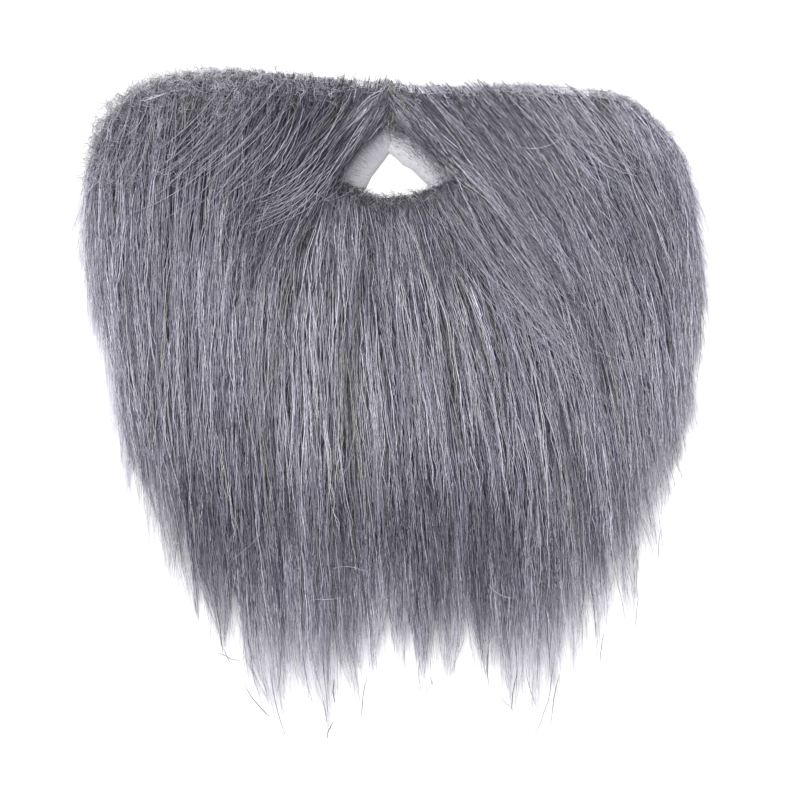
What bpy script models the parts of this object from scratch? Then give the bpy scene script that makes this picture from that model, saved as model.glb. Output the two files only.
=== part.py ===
"""Fake beard lying flat with its cloth side down, the hair's tips toward -Y and the mouth opening toward +Y."""

import math

import bpy
import numpy as np
from mathutils import Vector
from mathutils.geometry import delaunay_2d_cdt

# All sizes are in millimetres and degrees. The meshes are written in metres.
MM = 0.001
GAP = 0.4

CLOTH_THICK = 1.2
STRAP_WIDE = 6.0
STRAP_THICK = 1.0
STRAP_Y = 127.0
STRAP_HALF = 104.0
STRAP_WAVE = 2.4
STRAP_RAMP = 7.0

PILE_EDGE = 2.2
PILE_RISE = 12.0
PILE_RUN = 15.0
FRINGE_FROM = -35.0
FRINGE_TO = -145.0
MAT_END = -96.0
MAT_BELOW = 2.6
MAT_STEP = 17.0

LOCK_LONG = 78.0
LOCK_WIDE = 19.0
LOCK_THICK = 5.4
LOCK_STATIONS = 6
COURSE_STEP = 33.0
ROOT_STEP = 19.5
MOUSTACHE_LIFT = 2.6

# The cloth's border, x and y, clockwise from the top left corner.
CLOTH_BORDER = [
    (-107.3, 135.5), (-89.3, 140.5), (-62.3, 141.5), (-26.3, 138.6), (0.7, 136.4), (23.2, 134.5), (50.2, 135.6),
    (77.2, 134.8), (105.1, 131.0), (120.8, 120.0), (132.0, 103.5), (135.6, 78.8), (133.8, 42.8), (124.8, 6.8),
    (107.7, -27.0), (81.7, -51.8), (50.2, -66.2), (0.7, -72.0), (-53.3, -63.0), (-84.8, -45.0), (-107.3, -20.2),
    (-122.0, 6.8), (-131.0, 42.8), (-134.8, 78.8), (-132.5, 105.8), (-123.5, 124.7),
]
# The border of the hair as seen from above, in the same order.
HAIR_BORDER = [
    (-115.9, 137.0), (-102.8, 141.8), (-84.8, 144.0), (-66.8, 143.6), (-48.8, 144.2), (-30.8, 140.9), (-3.8, 138.6),
    (23.2, 136.2), (50.2, 138.6), (77.2, 137.5), (104.0, 134.0), (124.0, 121.0), (136.0, 105.0), (141.1, 74.3),
    (142.9, 38.3), (139.3, 2.3), (135.0, -28.0), (127.1, -51.8), (117.0, -82.0), (106.0, -108.0), (90.0, -132.0),
    (66.0, -148.0), (46.0, -137.0), (14.0, -142.0), (-14.0, -139.0), (-36.0, -135.0), (-56.0, -145.0),
    (-74.0, -127.0), (-90.0, -102.0), (-105.0, -78.0), (-115.0, -51.8), (-122.2, -15.8), (-131.6, 20.3),
    (-139.4, 47.3), (-142.4, 74.3), (-140.6, 101.3), (-131.0, 126.0),
]
MOUTH = [(0.2, 104.9), (10.5, 98.0), (18.2, 90.9), (10.6, 87.3), (-2.0, 85.3), (-11.5, 88.6), (-6.6, 97.0)]
# Bare cloth that shows round the opening.
MOUTH_MARGIN = [(0.2, 118.0), (28.2, 90.0), (26.0, 85.4), (-20.6, 85.4), (-22.6, 90.0)]
# Where the hair of the upper lip is rooted, each side of the parting.
LIP_LEFT = [
    (-1.6, 138.4), (-1.8, 117.0), (-22.0, 92.2), (-31.7, 89.0), (-48.8, 101.2), (-64.0, 120.0), (-69.0, 141.2),
]
LIP_RIGHT = [
    (1.8, 138.4), (2.0, 119.0), (27.6, 92.6), (36.7, 89.0), (59.2, 104.0), (78.0, 121.0), (81.0, 136.2),
]

# How a hair lies: which group, where it is rooted, and how far it leans toward +X from straight down
# at its root, its middle and its tip.
FLOW_COLUMNS = ("group", "x", "y", "lean_root", "lean_middle", "lean_tip")
FLOW = [
    ("left", -5.6, 135.5, -8, -42, -36),
    ("left", -7.4, 117.0, -30, -42, -32),
    ("left", -19.6, 136.3, -14, -38, -26),
    ("left", -19.6, 105.8, -40, -42, -26),
    ("left", -35.3, 137.2, -10, -32, -14),
    ("left", -33.1, 114.8, -22, -40, -20),
    ("left", -53.3, 139.5, -12, -16, -6),
    ("left", -62.3, 119.2, -8, -24, -6),
    ("right", 2.5, 135.5, 18, 44, 36),
    ("right", 5.2, 117.0, 38, 44, 36),
    ("right", 18.7, 135.0, 36, 40, 34),
    ("right", 20.9, 105.8, 40, 42, 30),
    ("right", 41.2, 135.0, 40, 36, 26),
    ("right", 41.2, 110.2, 34, 40, 26),
    ("right", 68.2, 135.0, 48, 30, 20),
    ("right", 68.2, 114.8, 33, 26, 18),
    ("pile", -123.1, 121.5, -30, -10, -4),
    ("pile", -107.3, 132.8, -40, -16, -4),
    ("pile", -84.8, 137.2, -24, -16, -3),
    ("pile", -132.1, 92.2, -12, -7, -2),
    ("pile", -107.3, 92.2, -10, -3, 0),
    ("pile", -80.3, 96.8, -16, -6, -1),
    ("pile", -125.3, 38.2, -3, 1, 5),
    ("pile", -93.8, 38.2, 0, 1, 2),
    ("pile", -57.8, 56.2, -6, 1, 1),
    ("pile", -17.3, 81.0, 4, 4, 0),
    ("pile", 0.7, 83.2, 20, 9, 7),
    ("pile", 18.7, 83.2, 30, 14, 10),
    ("pile", -107.3, -6.8, -1, 3, 10),
    ("pile", -71.3, -29.2, 0, 3, 9),
    ("pile", -39.8, -6.8, 0, 0, 4),
    ("pile", 0.7, 15.8, 7, 5, 3),
    ("pile", 41.2, 38.2, 14, 9, 6),
    ("pile", 36.7, -29.2, 7, 4, 0),
    ("pile", -39.8, -60.8, 4, 3, 0),
    ("pile", 5.2, -65.2, 2, 1, 0),
    ("pile", 77.2, -51.8, 4, 1, -2),
    ("pile", 77.2, 24.8, 16, 11, 7),
    ("pile", 90.7, 132.8, 44, 36, 26),
    ("pile", 113.2, 121.5, 40, 28, 16),
    ("pile", 95.2, 83.2, 24, 19, 14),
    ("pile", 126.7, 92.2, 18, 13, 9),
    ("pile", 131.2, 47.2, 13, 9, 4),
    ("pile", 113.2, 24.8, 12, 11, 6),
    ("pile", 113.2, -20.2, 8, 5, 0),
]

COLOURS = {
    "hair": (0.215, 0.210, 0.245, 1.0),
    "lip_hair": (0.235, 0.228, 0.262, 1.0),
    "cloth": (0.62, 0.61, 0.63, 1.0),
    "elastic": (0.83, 0.83, 0.84, 1.0),
}


def closed_curve(points, per_side):
    """A smooth closed loop through the points."""
    count = len(points)
    loop = []
    for i in range(count):
        p0, p1, p2, p3 = (np.array(points[(i + k - 1) % count], float) for k in range(4))
        for j in range(per_side):
            t = j / per_side
            loop.append(
                tuple(
                    0.5
                    * (
                        2 * p1
                        + (p2 - p0) * t
                        + (2 * p0 - 5 * p1 + 4 * p2 - p3) * t * t
                        + (3 * p1 - p0 - 3 * p2 + p3) * t * t * t
                    )
                )
            )
    return loop


def depth_inside(loop, x, y):
    """Distance from the loop's border, positive inside it."""
    a = np.array(loop)
    b = np.roll(a, -1, axis=0)
    side = b - a
    to_point = np.array((x, y)) - a
    share = np.clip((to_point * side).sum(1) / (side * side).sum(1), 0, 1)
    nearest = np.hypot(*(to_point - side * share[:, None]).T).min()
    crossing = (a[:, 1] > y) != (b[:, 1] > y)
    with np.errstate(divide="ignore", invalid="ignore"):
        at = a[:, 0] + (y - a[:, 1]) * side[:, 0] / side[:, 1]
    inside = np.count_nonzero(crossing & (x < at)) % 2
    return nearest if inside else -nearest


def grown(loop, amount):
    """The loop moved outward by the amount, along the normals at its corners."""
    points = np.array(loop)
    along = np.roll(points, -1, axis=0) - np.roll(points, 1, axis=0)
    normal = np.stack([along[:, 1], -along[:, 0]], axis=1)
    normal /= np.hypot(*normal.T)[:, None]
    area = np.sum(points[:, 0] * np.roll(points[:, 1], -1) - np.roll(points[:, 0], -1) * points[:, 1])
    return [tuple(p) for p in points + normal * (amount if area > 0 else -amount)]


def eased(t):
    t = min(max(t, 0.0), 1.0)
    return t * t * (3 - 2 * t)


HAIR = closed_curve(HAIR_BORDER, 3)
CLOTH = closed_curve(CLOTH_BORDER, 2)


def strap_y(x):
    return STRAP_Y + STRAP_WAVE * math.sin(x / STRAP_HALF * math.pi * 1.5)


def cloth_lift(x, y):
    """How far the cloth is held up by the strap that lies under it."""
    away = max(abs(y - strap_y(x)) - STRAP_WIDE / 2 - 0.6, 0.0)
    past = max(abs(x) - STRAP_HALF - 0.6, 0.0)
    return (STRAP_THICK + GAP) * (1 - eased(math.hypot(away, past) / STRAP_RAMP))


def cloth_top(x, y):
    return CLOTH_THICK + cloth_lift(x, y)


def above_cloth(x, y):
    return cloth_top(x, y) + GAP


def pile_top(x, y):
    """Height of the hair above the floor."""
    rise = 1 - math.exp(-max(depth_inside(HAIR, x, y), 0.0) / PILE_RUN)
    fringe = eased((y - FRINGE_TO) / (FRINGE_FROM - FRINGE_TO))
    mouth = eased(max(-depth_inside(MOUTH_MARGIN, x, y), 0.0) / 18)
    return PILE_EDGE + PILE_RISE * rise * (0.1 + 0.9 * fringe) * (0.45 + 0.55 * mouth)


def lean_at(group, x, y):
    """Lean at the root, the middle and the tip of a hair rooted here."""
    rows = [dict(zip(FLOW_COLUMNS, row)) for row in FLOW if row[0] == group]
    weights = np.array([1 / ((r["x"] - x) ** 2 + (r["y"] - y) ** 2 + 60) ** 1.5 for r in rows])
    leans = np.array([[r["lean_root"], r["lean_middle"], r["lean_tip"]] for r in rows], float)
    return weights @ leans / weights.sum()


def hair_path(group, root, length):
    """Points one millimetre apart along a hair, ending where it leaves the beard's border."""
    leans = lean_at(group, *root)
    x, y = root
    path = [(x, y)]
    for i in range(int(length)):
        s = (i + 0.5) / length
        lean = math.radians(
            leans[0] * (1 - s) * (1 - 2 * s) + leans[1] * 4 * s * (1 - s) + leans[2] * s * (2 * s - 1)
        )
        x += math.sin(lean)
        y -= math.cos(lean)
        if i > 18 and depth_inside(HAIR, x, y) < 0:
            break
        path.append((x, y))
    return path


def mesh_object(name, points, faces, colour, roughness):
    mesh = bpy.data.meshes.new(name)
    mesh.from_pydata([tuple(c * MM for c in p) for p in points], [], faces)
    mesh.update()
    obj = bpy.data.objects.new(name, mesh)
    bpy.context.scene.collection.objects.link(obj)
    material = bpy.data.materials.get(colour)
    if material is None:
        material = bpy.data.materials.new(colour)
        material.use_nodes = True
        shader = material.node_tree.nodes["Principled BSDF"]
        shader.inputs["Base Color"].default_value = COLOURS[colour]
        shader.inputs["Roughness"].default_value = roughness
        shader.inputs["Metallic"].default_value = 0.0
    mesh.materials.append(material)
    return obj


def slab(name, border, holes, inner, low, top, colour, roughness=0.8):
    """A closed sheet between two height functions, with the holes cut right through."""
    points = []
    edges = []
    for loop in [border] + holes:
        first = len(points)
        points += loop
        edges += [(first + i, first + (i + 1) % len(loop)) for i in range(len(loop))]
    points += inner
    flat, _, faces, _, _, _ = delaunay_2d_cdt([Vector(p) for p in points], edges, [], 0, 1e-7)
    kept = []
    for face in faces:
        x = sum(flat[i].x for i in face) / len(face)
        y = sum(flat[i].y for i in face) / len(face)
        if depth_inside(border, x, y) > 0 and all(depth_inside(hole, x, y) < 0 for hole in holes):
            kept.append(tuple(face))
    count = len(flat)
    solid = [(p.x, p.y, top(p.x, p.y)) for p in flat] + [(p.x, p.y, low(p.x, p.y)) for p in flat]
    sides = {(f[i], f[(i + 1) % len(f)]) for f in kept for i in range(len(f))}
    shell = list(kept) + [tuple(count + i for i in reversed(f)) for f in kept]
    shell += [(count + a, count + b, b, a) for a, b in sorted(sides) if (b, a) not in sides]
    return mesh_object(name, solid, shell, colour, roughness)


def grid_inside(border, step, margin, avoid=()):
    """Points in staggered rows inside the border, clear of it and of the loops to avoid."""
    points = []
    xs = [p[0] for p in border]
    ys = [p[1] for p in border]
    row = 0
    y = min(ys) + margin
    while y < max(ys):
        x = min(xs) + margin + (row % 2) * step / 2
        while x < max(xs):
            clear = all(depth_inside(loop, x, y) < -margin for loop in avoid)
            if depth_inside(border, x, y) > margin and clear:
                points.append((x, y))
            x += step
        y += step * 0.87
        row += 1
    return points


def lock(group, root, length, width, thick, lift, spread, colour):
    """One lock of hair: a tapered bar with a crowned top that follows the hair's path to a point."""
    path = hair_path(group, root, length)
    stations = [i / LOCK_STATIONS for i in range(LOCK_STATIONS)]
    points = []
    for s in stations + [1.0]:
        i = min(int(s * (len(path) - 1)), len(path) - 2)
        x, y = path[i]
        dx, dy = path[i + 1][0] - x, path[i + 1][1] - y
        shape = (0.55 + 1.5 * s) if s < 0.3 else (1 - ((s - 0.3) / 0.78) ** 2.2)
        half = (width / 2) * shape
        half = min(half, max(depth_inside(HAIR, x, y), 0.0) + 1.6) + spread
        tall = thick * (1 - 0.62 * s) / 2
        rise = lift * eased(s / 0.25)
        middle = max(pile_top(x, y) + rise - tall, tall + 0.35)
        if s == 1.0:
            points.append((x + dx * 3 * spread, y + dy * 3 * spread, max(middle - tall * 0.3, 0.6)))
            break
        tall += spread
        if s == 0.0:
            x, y = x - dx * spread, y - dy * spread
        ax, ay = dy * half, -dx * half
        points += [
            (x - ax * 0.92, y - ay * 0.92, middle - tall),
            (x + ax * 0.92, y + ay * 0.92, middle - tall),
            (x + ax, y + ay, middle - tall * 0.1),
            (x, y, middle + tall),
            (x - ax, y - ay, middle - tall * 0.1),
        ]
    faces = [(4, 3, 2, 1, 0)]
    for n in range(LOCK_STATIONS - 1):
        for k in range(5):
            a, b = n * 5 + k, n * 5 + (k + 1) % 5
            faces.append((a, b, b + 5, a + 5))
    last = (LOCK_STATIONS - 1) * 5
    faces += [(last + k, last + (k + 1) % 5, len(points) - 1) for k in range(5)]
    return facing_out(mesh_object("lock", points, faces, colour, 0.6))


def facing_out(obj):
    """The object with its faces turned outward, by the sign of its volume."""
    mesh = obj.data
    mesh.calc_loop_triangles()
    corners = [[mesh.vertices[i].co for i in t.vertices] for t in mesh.loop_triangles]
    if sum(a.dot(b.cross(c)) for a, b, c in corners) < 0:
        mesh.flip_normals()
    return obj


def combine(base, others, operation):
    """The base joined with, or cut by, all the others. The others are removed."""
    group = bpy.data.collections.new("tools")
    bpy.context.scene.collection.children.link(group)
    for other in others:
        bpy.context.scene.collection.objects.unlink(other)
        group.objects.link(other)
    step = base.modifiers.new("combine", "BOOLEAN")
    step.operation = operation
    step.solver = "EXACT"
    step.operand_type = "COLLECTION"
    step.collection = group
    graph = bpy.context.evaluated_depsgraph_get()
    mesh = bpy.data.meshes.new_from_object(base.evaluated_get(graph))
    base.modifiers.clear()
    base.data = mesh
    for other in others:
        bpy.data.objects.remove(other)
    bpy.data.collections.remove(group)


def keep_largest(obj):
    """Drops the scraps that a cut leaves loose, or that hang on by a corner only."""
    mesh = obj.data
    parent = list(range(len(mesh.polygons)))

    def find(i):
        while parent[i] != i:
            parent[i] = parent[parent[i]]
            i = parent[i]
        return i

    seen = {}
    for face in mesh.polygons:
        for edge in face.edge_keys:
            if edge in seen:
                parent[find(face.index)] = find(seen[edge])
            seen[edge] = face.index
    groups = {}
    for i in range(len(parent)):
        groups.setdefault(find(i), []).append(i)
    largest = max(groups.values(), key=len)
    index = {}
    points = []
    faces = []
    for i in largest:
        for v in mesh.polygons[i].vertices:
            if v not in index:
                index[v] = len(points)
                points.append(tuple(c / MM for c in mesh.vertices[v].co))
        faces.append(tuple(index[v] for v in mesh.polygons[i].vertices))
    name, colour = obj.name, mesh.materials[0].name
    bpy.data.objects.remove(obj)
    return mesh_object(name, points, faces, colour, 0.6)


def prism(loop, low, high):
    return slab("cutter", loop, [], [], lambda x, y: low, lambda x, y: high, "hair")


def make_cloth():
    bump = []
    for row in (-9.0, -3.4, 3.4, 9.0):
        for n in range(27):
            x = -113 + n * 226 / 26
            y = strap_y(x) + row
            if depth_inside(CLOTH, x, y) > 2:
                bump.append((x, y))
    fill = [p for p in grid_inside(CLOTH, 42, 8, [MOUTH]) if p[1] < strap_y(p[0]) - 18]
    mouth = closed_curve(MOUTH, 2)
    return slab("backing_cloth", CLOTH, [mouth], bump + fill, cloth_lift, cloth_top, "cloth", 0.9)


def make_strap():
    count = 29
    points = []
    faces = [(3, 2, 1, 0)]
    for n in range(count):
        x = -STRAP_HALF + n * 2 * STRAP_HALF / (count - 1)
        slope = (strap_y(x + 0.5) - strap_y(x - 0.5)) / 1.0
        ux, uy = -slope / math.hypot(1, slope), 1 / math.hypot(1, slope)
        near = (x - ux * STRAP_WIDE / 2, strap_y(x) - uy * STRAP_WIDE / 2)
        far = (x + ux * STRAP_WIDE / 2, strap_y(x) + uy * STRAP_WIDE / 2)
        points += [(*near, 0.0), (*far, 0.0), (*far, STRAP_THICK), (*near, STRAP_THICK)]
        if n:
            a = n * 4 - 4
            faces += [(a + k, a + (k + 1) % 4, a + 4 + (k + 1) % 4, a + 4 + k) for k in range(4)]
    end = len(points) - 4
    faces.append((end, end + 1, end + 2, end + 3))
    return facing_out(mesh_object("elastic_strap", points, faces, "elastic", 0.7))


def cloth_clearance():
    """The room that the hair leaves round the cloth."""
    bump = []
    for row in (-9.0, -3.4, 3.4, 9.0):
        for n in range(27):
            x = -113 + n * 226 / 26
            bump.append((x, strap_y(x) + row))
    border = grown(CLOTH, GAP)
    inner = [p for p in bump if depth_inside(border, *p) > 2]
    return slab("cutter", border, [], inner, lambda x, y: -5.0, above_cloth, "hair")


def lip_roots(side):
    """Roots of the upper lip's locks, in a front and a back row."""
    sign = -1 if side == "left" else 1
    rows = [
        [(8.0, 131.0), (22.0, 131.0), (37.0, 131.0), (52.0, 131.0)],
        [(9.0, 112.0), (21.0, 101.0), (38.0, 112.0), (54.0, 114.0)],
    ]
    return [(sign * x, y) for row in rows for x, y in row]


def make_lip(side, random):
    name = "moustache_" + side
    zone = LIP_LEFT if side == "left" else LIP_RIGHT
    base = slab(
        name, zone, [], grid_inside(zone, 13, 4), above_cloth,
        lambda x, y: max(pile_top(x, y) - 1.0, above_cloth(x, y) + 1.2), "lip_hair", 0.6,
    )
    locks = []
    spread = []
    for n, root in enumerate(lip_roots(side)):
        length = (70 if side == "left" else 84) + 14 * random.random()
        width = 17 + 3 * random.random()
        lift = MOUSTACHE_LIFT + 0.5 * (n % 3)
        locks.append(lock(side, root, length, width, LOCK_THICK, lift, 0.0, "lip_hair"))
        spread.append(lock(side, root, length, width, LOCK_THICK, lift, GAP + 0.1, "lip_hair"))
    combine(base, locks, "UNION")
    combine(base, [prism(MOUTH_MARGIN, -3.0, 40.0), cloth_clearance()], "DIFFERENCE")
    spread.append(prism(grown(zone, GAP + 0.1), -3.0, 40.0))
    return base, spread


def pile_roots(random):
    """Roots of the beard's locks, in courses from the top edge to the lower edge of the cloth."""
    roots = []
    course = 0
    y = 131.0
    while y > -62:
        x = -130 + (course % 2) * ROOT_STEP / 2
        while x < 138:
            px, py = x + 3 * (random.random() - 0.5), y + 8 * (random.random() - 0.5)
            lip = max(depth_inside(LIP_LEFT, px, py), depth_inside(LIP_RIGHT, px, py))
            mouth = depth_inside(MOUTH_MARGIN, px, py)
            if depth_inside(CLOTH, px, py) > 3.5 and lip < -2 and mouth < -1:
                roots.append((px, py))
            x += ROOT_STEP
        y -= COURSE_STEP
        course += 1
    return roots


def make_pile(cutters, random):
    border = [(x, max(y, MAT_END + 3 * math.sin(x * 0.21))) for x, y in grown(HAIR, -3.2)]
    base = slab(
        "beard_pile", border, [], grid_inside(border, MAT_STEP, 6), above_cloth,
        lambda x, y: max(pile_top(x, y) - MAT_BELOW, above_cloth(x, y) + 1.2), "hair", 0.6,
    )
    locks = []
    for n, root in enumerate(pile_roots(random)):
        last = root[1] < -25
        length = (110 if last else LOCK_LONG) * (0.92 + 0.16 * random.random())
        width = LOCK_WIDE * (0.9 + 0.3 * random.random())
        lift = 0.55 * (n % 3)
        locks.append(lock("pile", root, length, width, LOCK_THICK, lift, 0.0, "hair"))
    combine(base, locks, "UNION")
    combine(base, cutters + [prism(MOUTH_MARGIN, -3.0, 40.0), cloth_clearance()], "DIFFERENCE")
    return base


def main():
    for obj in list(bpy.data.objects):
        bpy.data.objects.remove(obj)
    random = np.random.default_rng(7)
    make_cloth()
    make_strap()
    left, left_room = make_lip("left", random)
    right, right_room = make_lip("right", random)
    pile = make_pile(left_room + right_room, random)
    for part in (left, right, pile):
        keep_largest(part)


main()
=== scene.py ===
"""Looks of the fake beard: loose hair, knitted backing and elastic, with the light and camera round them."""

import math

import bpy
import numpy as np
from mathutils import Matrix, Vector
from mathutils.geometry import delaunay_2d_cdt


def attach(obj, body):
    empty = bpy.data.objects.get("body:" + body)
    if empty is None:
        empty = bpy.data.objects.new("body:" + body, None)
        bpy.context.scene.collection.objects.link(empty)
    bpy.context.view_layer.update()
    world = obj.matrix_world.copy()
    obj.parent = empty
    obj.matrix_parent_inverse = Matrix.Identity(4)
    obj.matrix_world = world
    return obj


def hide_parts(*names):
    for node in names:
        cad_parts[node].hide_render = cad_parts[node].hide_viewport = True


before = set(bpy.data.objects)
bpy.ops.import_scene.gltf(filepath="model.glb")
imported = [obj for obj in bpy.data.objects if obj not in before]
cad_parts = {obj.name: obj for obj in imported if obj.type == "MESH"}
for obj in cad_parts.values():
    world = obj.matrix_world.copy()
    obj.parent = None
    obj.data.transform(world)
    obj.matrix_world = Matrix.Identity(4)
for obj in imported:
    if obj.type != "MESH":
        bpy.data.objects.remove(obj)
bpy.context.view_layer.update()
random = np.random.default_rng(20)

# Sizes are in millimetres and degrees here. The meshes are written in metres. A girth is a radius.
MM = 0.001

# The cloth and the underfur on it, with how far apart the points of their meshes lie.
CLOTH_THICK = 1.2
CLOTH_STEP = 5.0
UNDERFUR_STEP = 3.0
UNDERFUR_INSET = 3.5

# The elastic under the cloth, slightly wavy, and how far from it the cloth comes down to the floor.
STRAP_WIDE = 6.0
STRAP_THICK = 1.0
STRAP_Y = 127.0
STRAP_HALF = 104.0
STRAP_WAVE = 2.4
STRAP_RAMP = 7.0
ZIGZAG_POINTS = 15
THREAD_HALF = 0.15
# Between the elastic and the cloth that lies over it.
GAP = 0.4

# The pile's height at the hair's border, how much it rises inward, and within about how far.
PILE_EDGE = 2.2
PILE_RISE = 12.0
PILE_RUN = 15.0
# The pile sinks toward the floor between these two y.
FRINGE_FROM = -35.0
FRINGE_TO = -145.0
# How much higher the upper lip's hair lies on the rest.
LIP_LIFT = 0.7

HAIR_LONG = 66.0
FRINGE_LONG = 98.0
SHORT_LONG = 30.0
PARTING_LONG = 17.0
# The y at which the longest hair is cut short.
LOWEST = -160.0
# From how far above its tip, and how far to its sides, a point of the fringe draws hair in.
GATHER_RUN = 40.0
GATHER_REACH = 14.0
# The highest y of the roots of the chin's longest hair.
CHIN_TOP = -8.0

# Tones run from 0, dark, to 1, light. Tones past the pale one are brought closer to it.
TONES = 128
LIGHT_SHARE = 0.22
DARK_SHARE = 0.25
MIDDLE_TONE = 0.47
PALE_FROM = 0.66
PALE_SHARE = 0.65
# How wide the streaks of lighter and darker hair are, and how far their tones spread.
BAND_WIDTH = 5.0
BAND_SPREAD = 0.065

# How many hairs, or wisps of hair.
EDGE_FUZZ = 3300
MATTED_FUZZ = 1500
LIP_FUZZ = 950
PARTING_FUZZ = 200
LOWER_LIP_WISPS = 330
PARTING_WISPS = 60
STRAY_FEW = 34

# Where along a strand its points lie: closer together on the half that shows.
FINE_STATIONS = (0, 0.07, 0.18, 0.31, 0.43, 0.53, 0.62, 0.71, 0.79, 0.87, 0.94, 1.0)
PLAIN_STATIONS = (0, 0.10, 0.34, 0.60, 0.82, 1.0)
FUZZ_STATIONS = (0, 0.16, 0.34, 0.55, 0.78, 1.0)

# Kinds of strand: whether fine, hairs to a wisp, spread round the wisp's root, how far the wisp closes up
# toward its tip, waywardness in degrees, crimp, girth and its share left at the tip, the lowest and highest
# level in the pile, how much lighter, how contrasty, how gradually and how evenly the fringe thins out, and
# how strongly its ends gather into points.
GROWTH_COLUMNS = (
    "kind", "fine", "hairs", "spread", "closing", "stray", "crimp", "girth", "tip", "low", "high", "lighter",
    "contrast", "fringe_fade", "fade_shape", "pull",
)
GROWTH = [
    ("under", False, 3, 1.0, 0.1, 3.6, 0.34, 0.20, 0.30, 0.42, 0.84, -0.07, 0.9, 16.0, 3.0, 0.40),
    ("over", True, 3, 0.8, 0.30, 3.0, 0.42, 0.19, 0.34, 0.66, 1.06, 0.125, 0.74, 14.5, 3.2, 0.40),
    ("lip", True, 3, 0.8, 0.40, 4.0, 0.58, 0.19, 0.34, 0.66, 1.06, 0.06, 1.15, 15.0, 3.0, 0.0),
    ("short", False, 3, 1.2, 0.1, 6.0, 0.46, 0.17, 0.40, 0.55, 1.00, 0.06, 1.0, 6.0, 3.0, 0.0),
    ("fringe", False, 4, 1.4, 0.2, 3.8, 0.34, 0.10, 0.42, 0.30, 0.95, 0.42, 1.0, 10.5, 2.2, 0.50),
    ("tips", False, 2, 1.6, 0.4, 4.2, 0.34, 0.14, 0.45, 0.50, 1.05, -0.10, 1.0, 7.5, 1.1, 0.85),
    ("haze", False, 3, 1.4, 0.1, 4.5, 0.30, 0.085, 0.40, 0.30, 0.90, 0.44, 0.8, 12.0, 1.7, 0.30),
]

# The hair of cheeks and chin: kind, where it is rooted, how many wisps, how far inside the border at least
# (along the edge, at most), below which y, length, and how many degrees more it leans outward.
PILE_COLUMNS = ("kind", "zone", "wisps", "inset", "below", "length", "spill")
PILE = [
    ("under", "all", 360, 0.8, None, HAIR_LONG, 0.0),
    ("over", "all", 1553, 0.5, None, HAIR_LONG, 0.0),
    ("over", "edge", 200, 6.0, 112.0, HAIR_LONG * 0.85, 0.0),
    ("fringe", "chin", 560, 0.8, None, FRINGE_LONG, 0.0),
    ("tips", "chin", 110, 0.8, None, FRINGE_LONG, 0.0),
    ("haze", "edge", 330, 7.0, 120.0, HAIR_LONG, 7.0),
]
# The x between which that hair is split into six pieces.
PILE_CUTS = (-150, -88, -44, -6, 34, 78, 150)
# The hair of the upper lip: kind and how many wisps a side, and the length on each side.
LIP_WISPS = (("under", 70), ("lip", 290))
LIP_LONG = {"left": 60.0, "right": 76.0}

# The cloth's border, x and y, clockwise from the top left corner.
CLOTH_BORDER = [
    (-107.3, 135.5), (-89.3, 140.5), (-62.3, 141.5), (-26.3, 138.6), (0.7, 136.4), (23.2, 134.5),
    (50.2, 135.6), (77.2, 134.8), (105.1, 131.0), (120.8, 120.0), (132.0, 103.5), (135.6, 78.8),
    (133.8, 42.8), (124.8, 6.8), (107.7, -27.0), (81.7, -51.8), (50.2, -66.2), (0.7, -72.0), (-53.3, -63.0),
    (-84.8, -45.0), (-107.3, -20.2), (-122.0, 6.8), (-131.0, 42.8), (-134.8, 78.8), (-132.5, 105.8),
    (-123.5, 124.7),
]
# The border of the hair as seen from above, in the same order.
HAIR_BORDER = [
    (-115.9, 137.0), (-102.8, 141.8), (-84.8, 144.0), (-66.8, 143.6), (-48.8, 144.2), (-30.8, 140.9),
    (-3.8, 138.6), (23.2, 136.2), (50.2, 138.6), (77.2, 137.5), (100.0, 134.0), (119.0, 121.0),
    (133.0, 105.0), (139.6, 74.3), (140.8, 38.3), (137.2, 2.3), (132.6, -28.0), (125.0, -51.8),
    (116.0, -82.0), (106.0, -108.0), (90.0, -132.0), (66.0, -148.0), (46.0, -137.0), (14.0, -142.0),
    (-14.0, -139.0), (-36.0, -135.0), (-56.0, -145.0), (-74.0, -127.0), (-90.0, -102.0), (-103.0, -78.0),
    (-112.4, -51.8), (-119.6, -24.0), (-123.6, 2.0), (-129.4, 26.0), (-136.4, 44.0), (-139.0, 62.0),
    (-141.4, 80.0), (-140.6, 101.3), (-131.0, 126.0),
]
MOUTH = [(0.2, 104.9), (10.5, 98.0), (18.2, 90.9), (10.6, 87.3), (-2.0, 85.3), (-11.5, 88.6), (-6.6, 97.0)]
# Bare cloth that shows round the opening, and how far a hair may reach over it.
MARGIN_REACH = 1.2
MOUTH_MARGIN = [
    (-3.0, 116.0), (1.5, 117.0), (10.5, 111.4), (22.5, 102.0), (29.6, 95.4), (27.0, 89.6), (18.8, 87.6),
    (9.5, 84.8), (-2.0, 83.4), (-12.6, 87.2), (-23.0, 91.6), (-17.2, 104.0),
]
# The edge of the hair under the opening.
LOWER_LIP = [(-23.0, 92.0), (-12.5, 87.2), (-4.0, 84.8), (9.5, 85.4), (18.5, 88.2), (28.5, 92.5)]
# The middle of the parting's fuzz, the highest y of its roots, and the zones of its short hair.
PARTING_FOOT = (0.6, 122.0)
PARTING_TOP = 134.0
PARTING_LEFT = [(-3.0, 139.0), (1.5, 139.0), (1.0, 117.0), (-8.0, 112.0)]
PARTING_RIGHT = [(-1.5, 139.0), (4.0, 138.0), (14.0, 110.5), (0.0, 117.0)]
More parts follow.
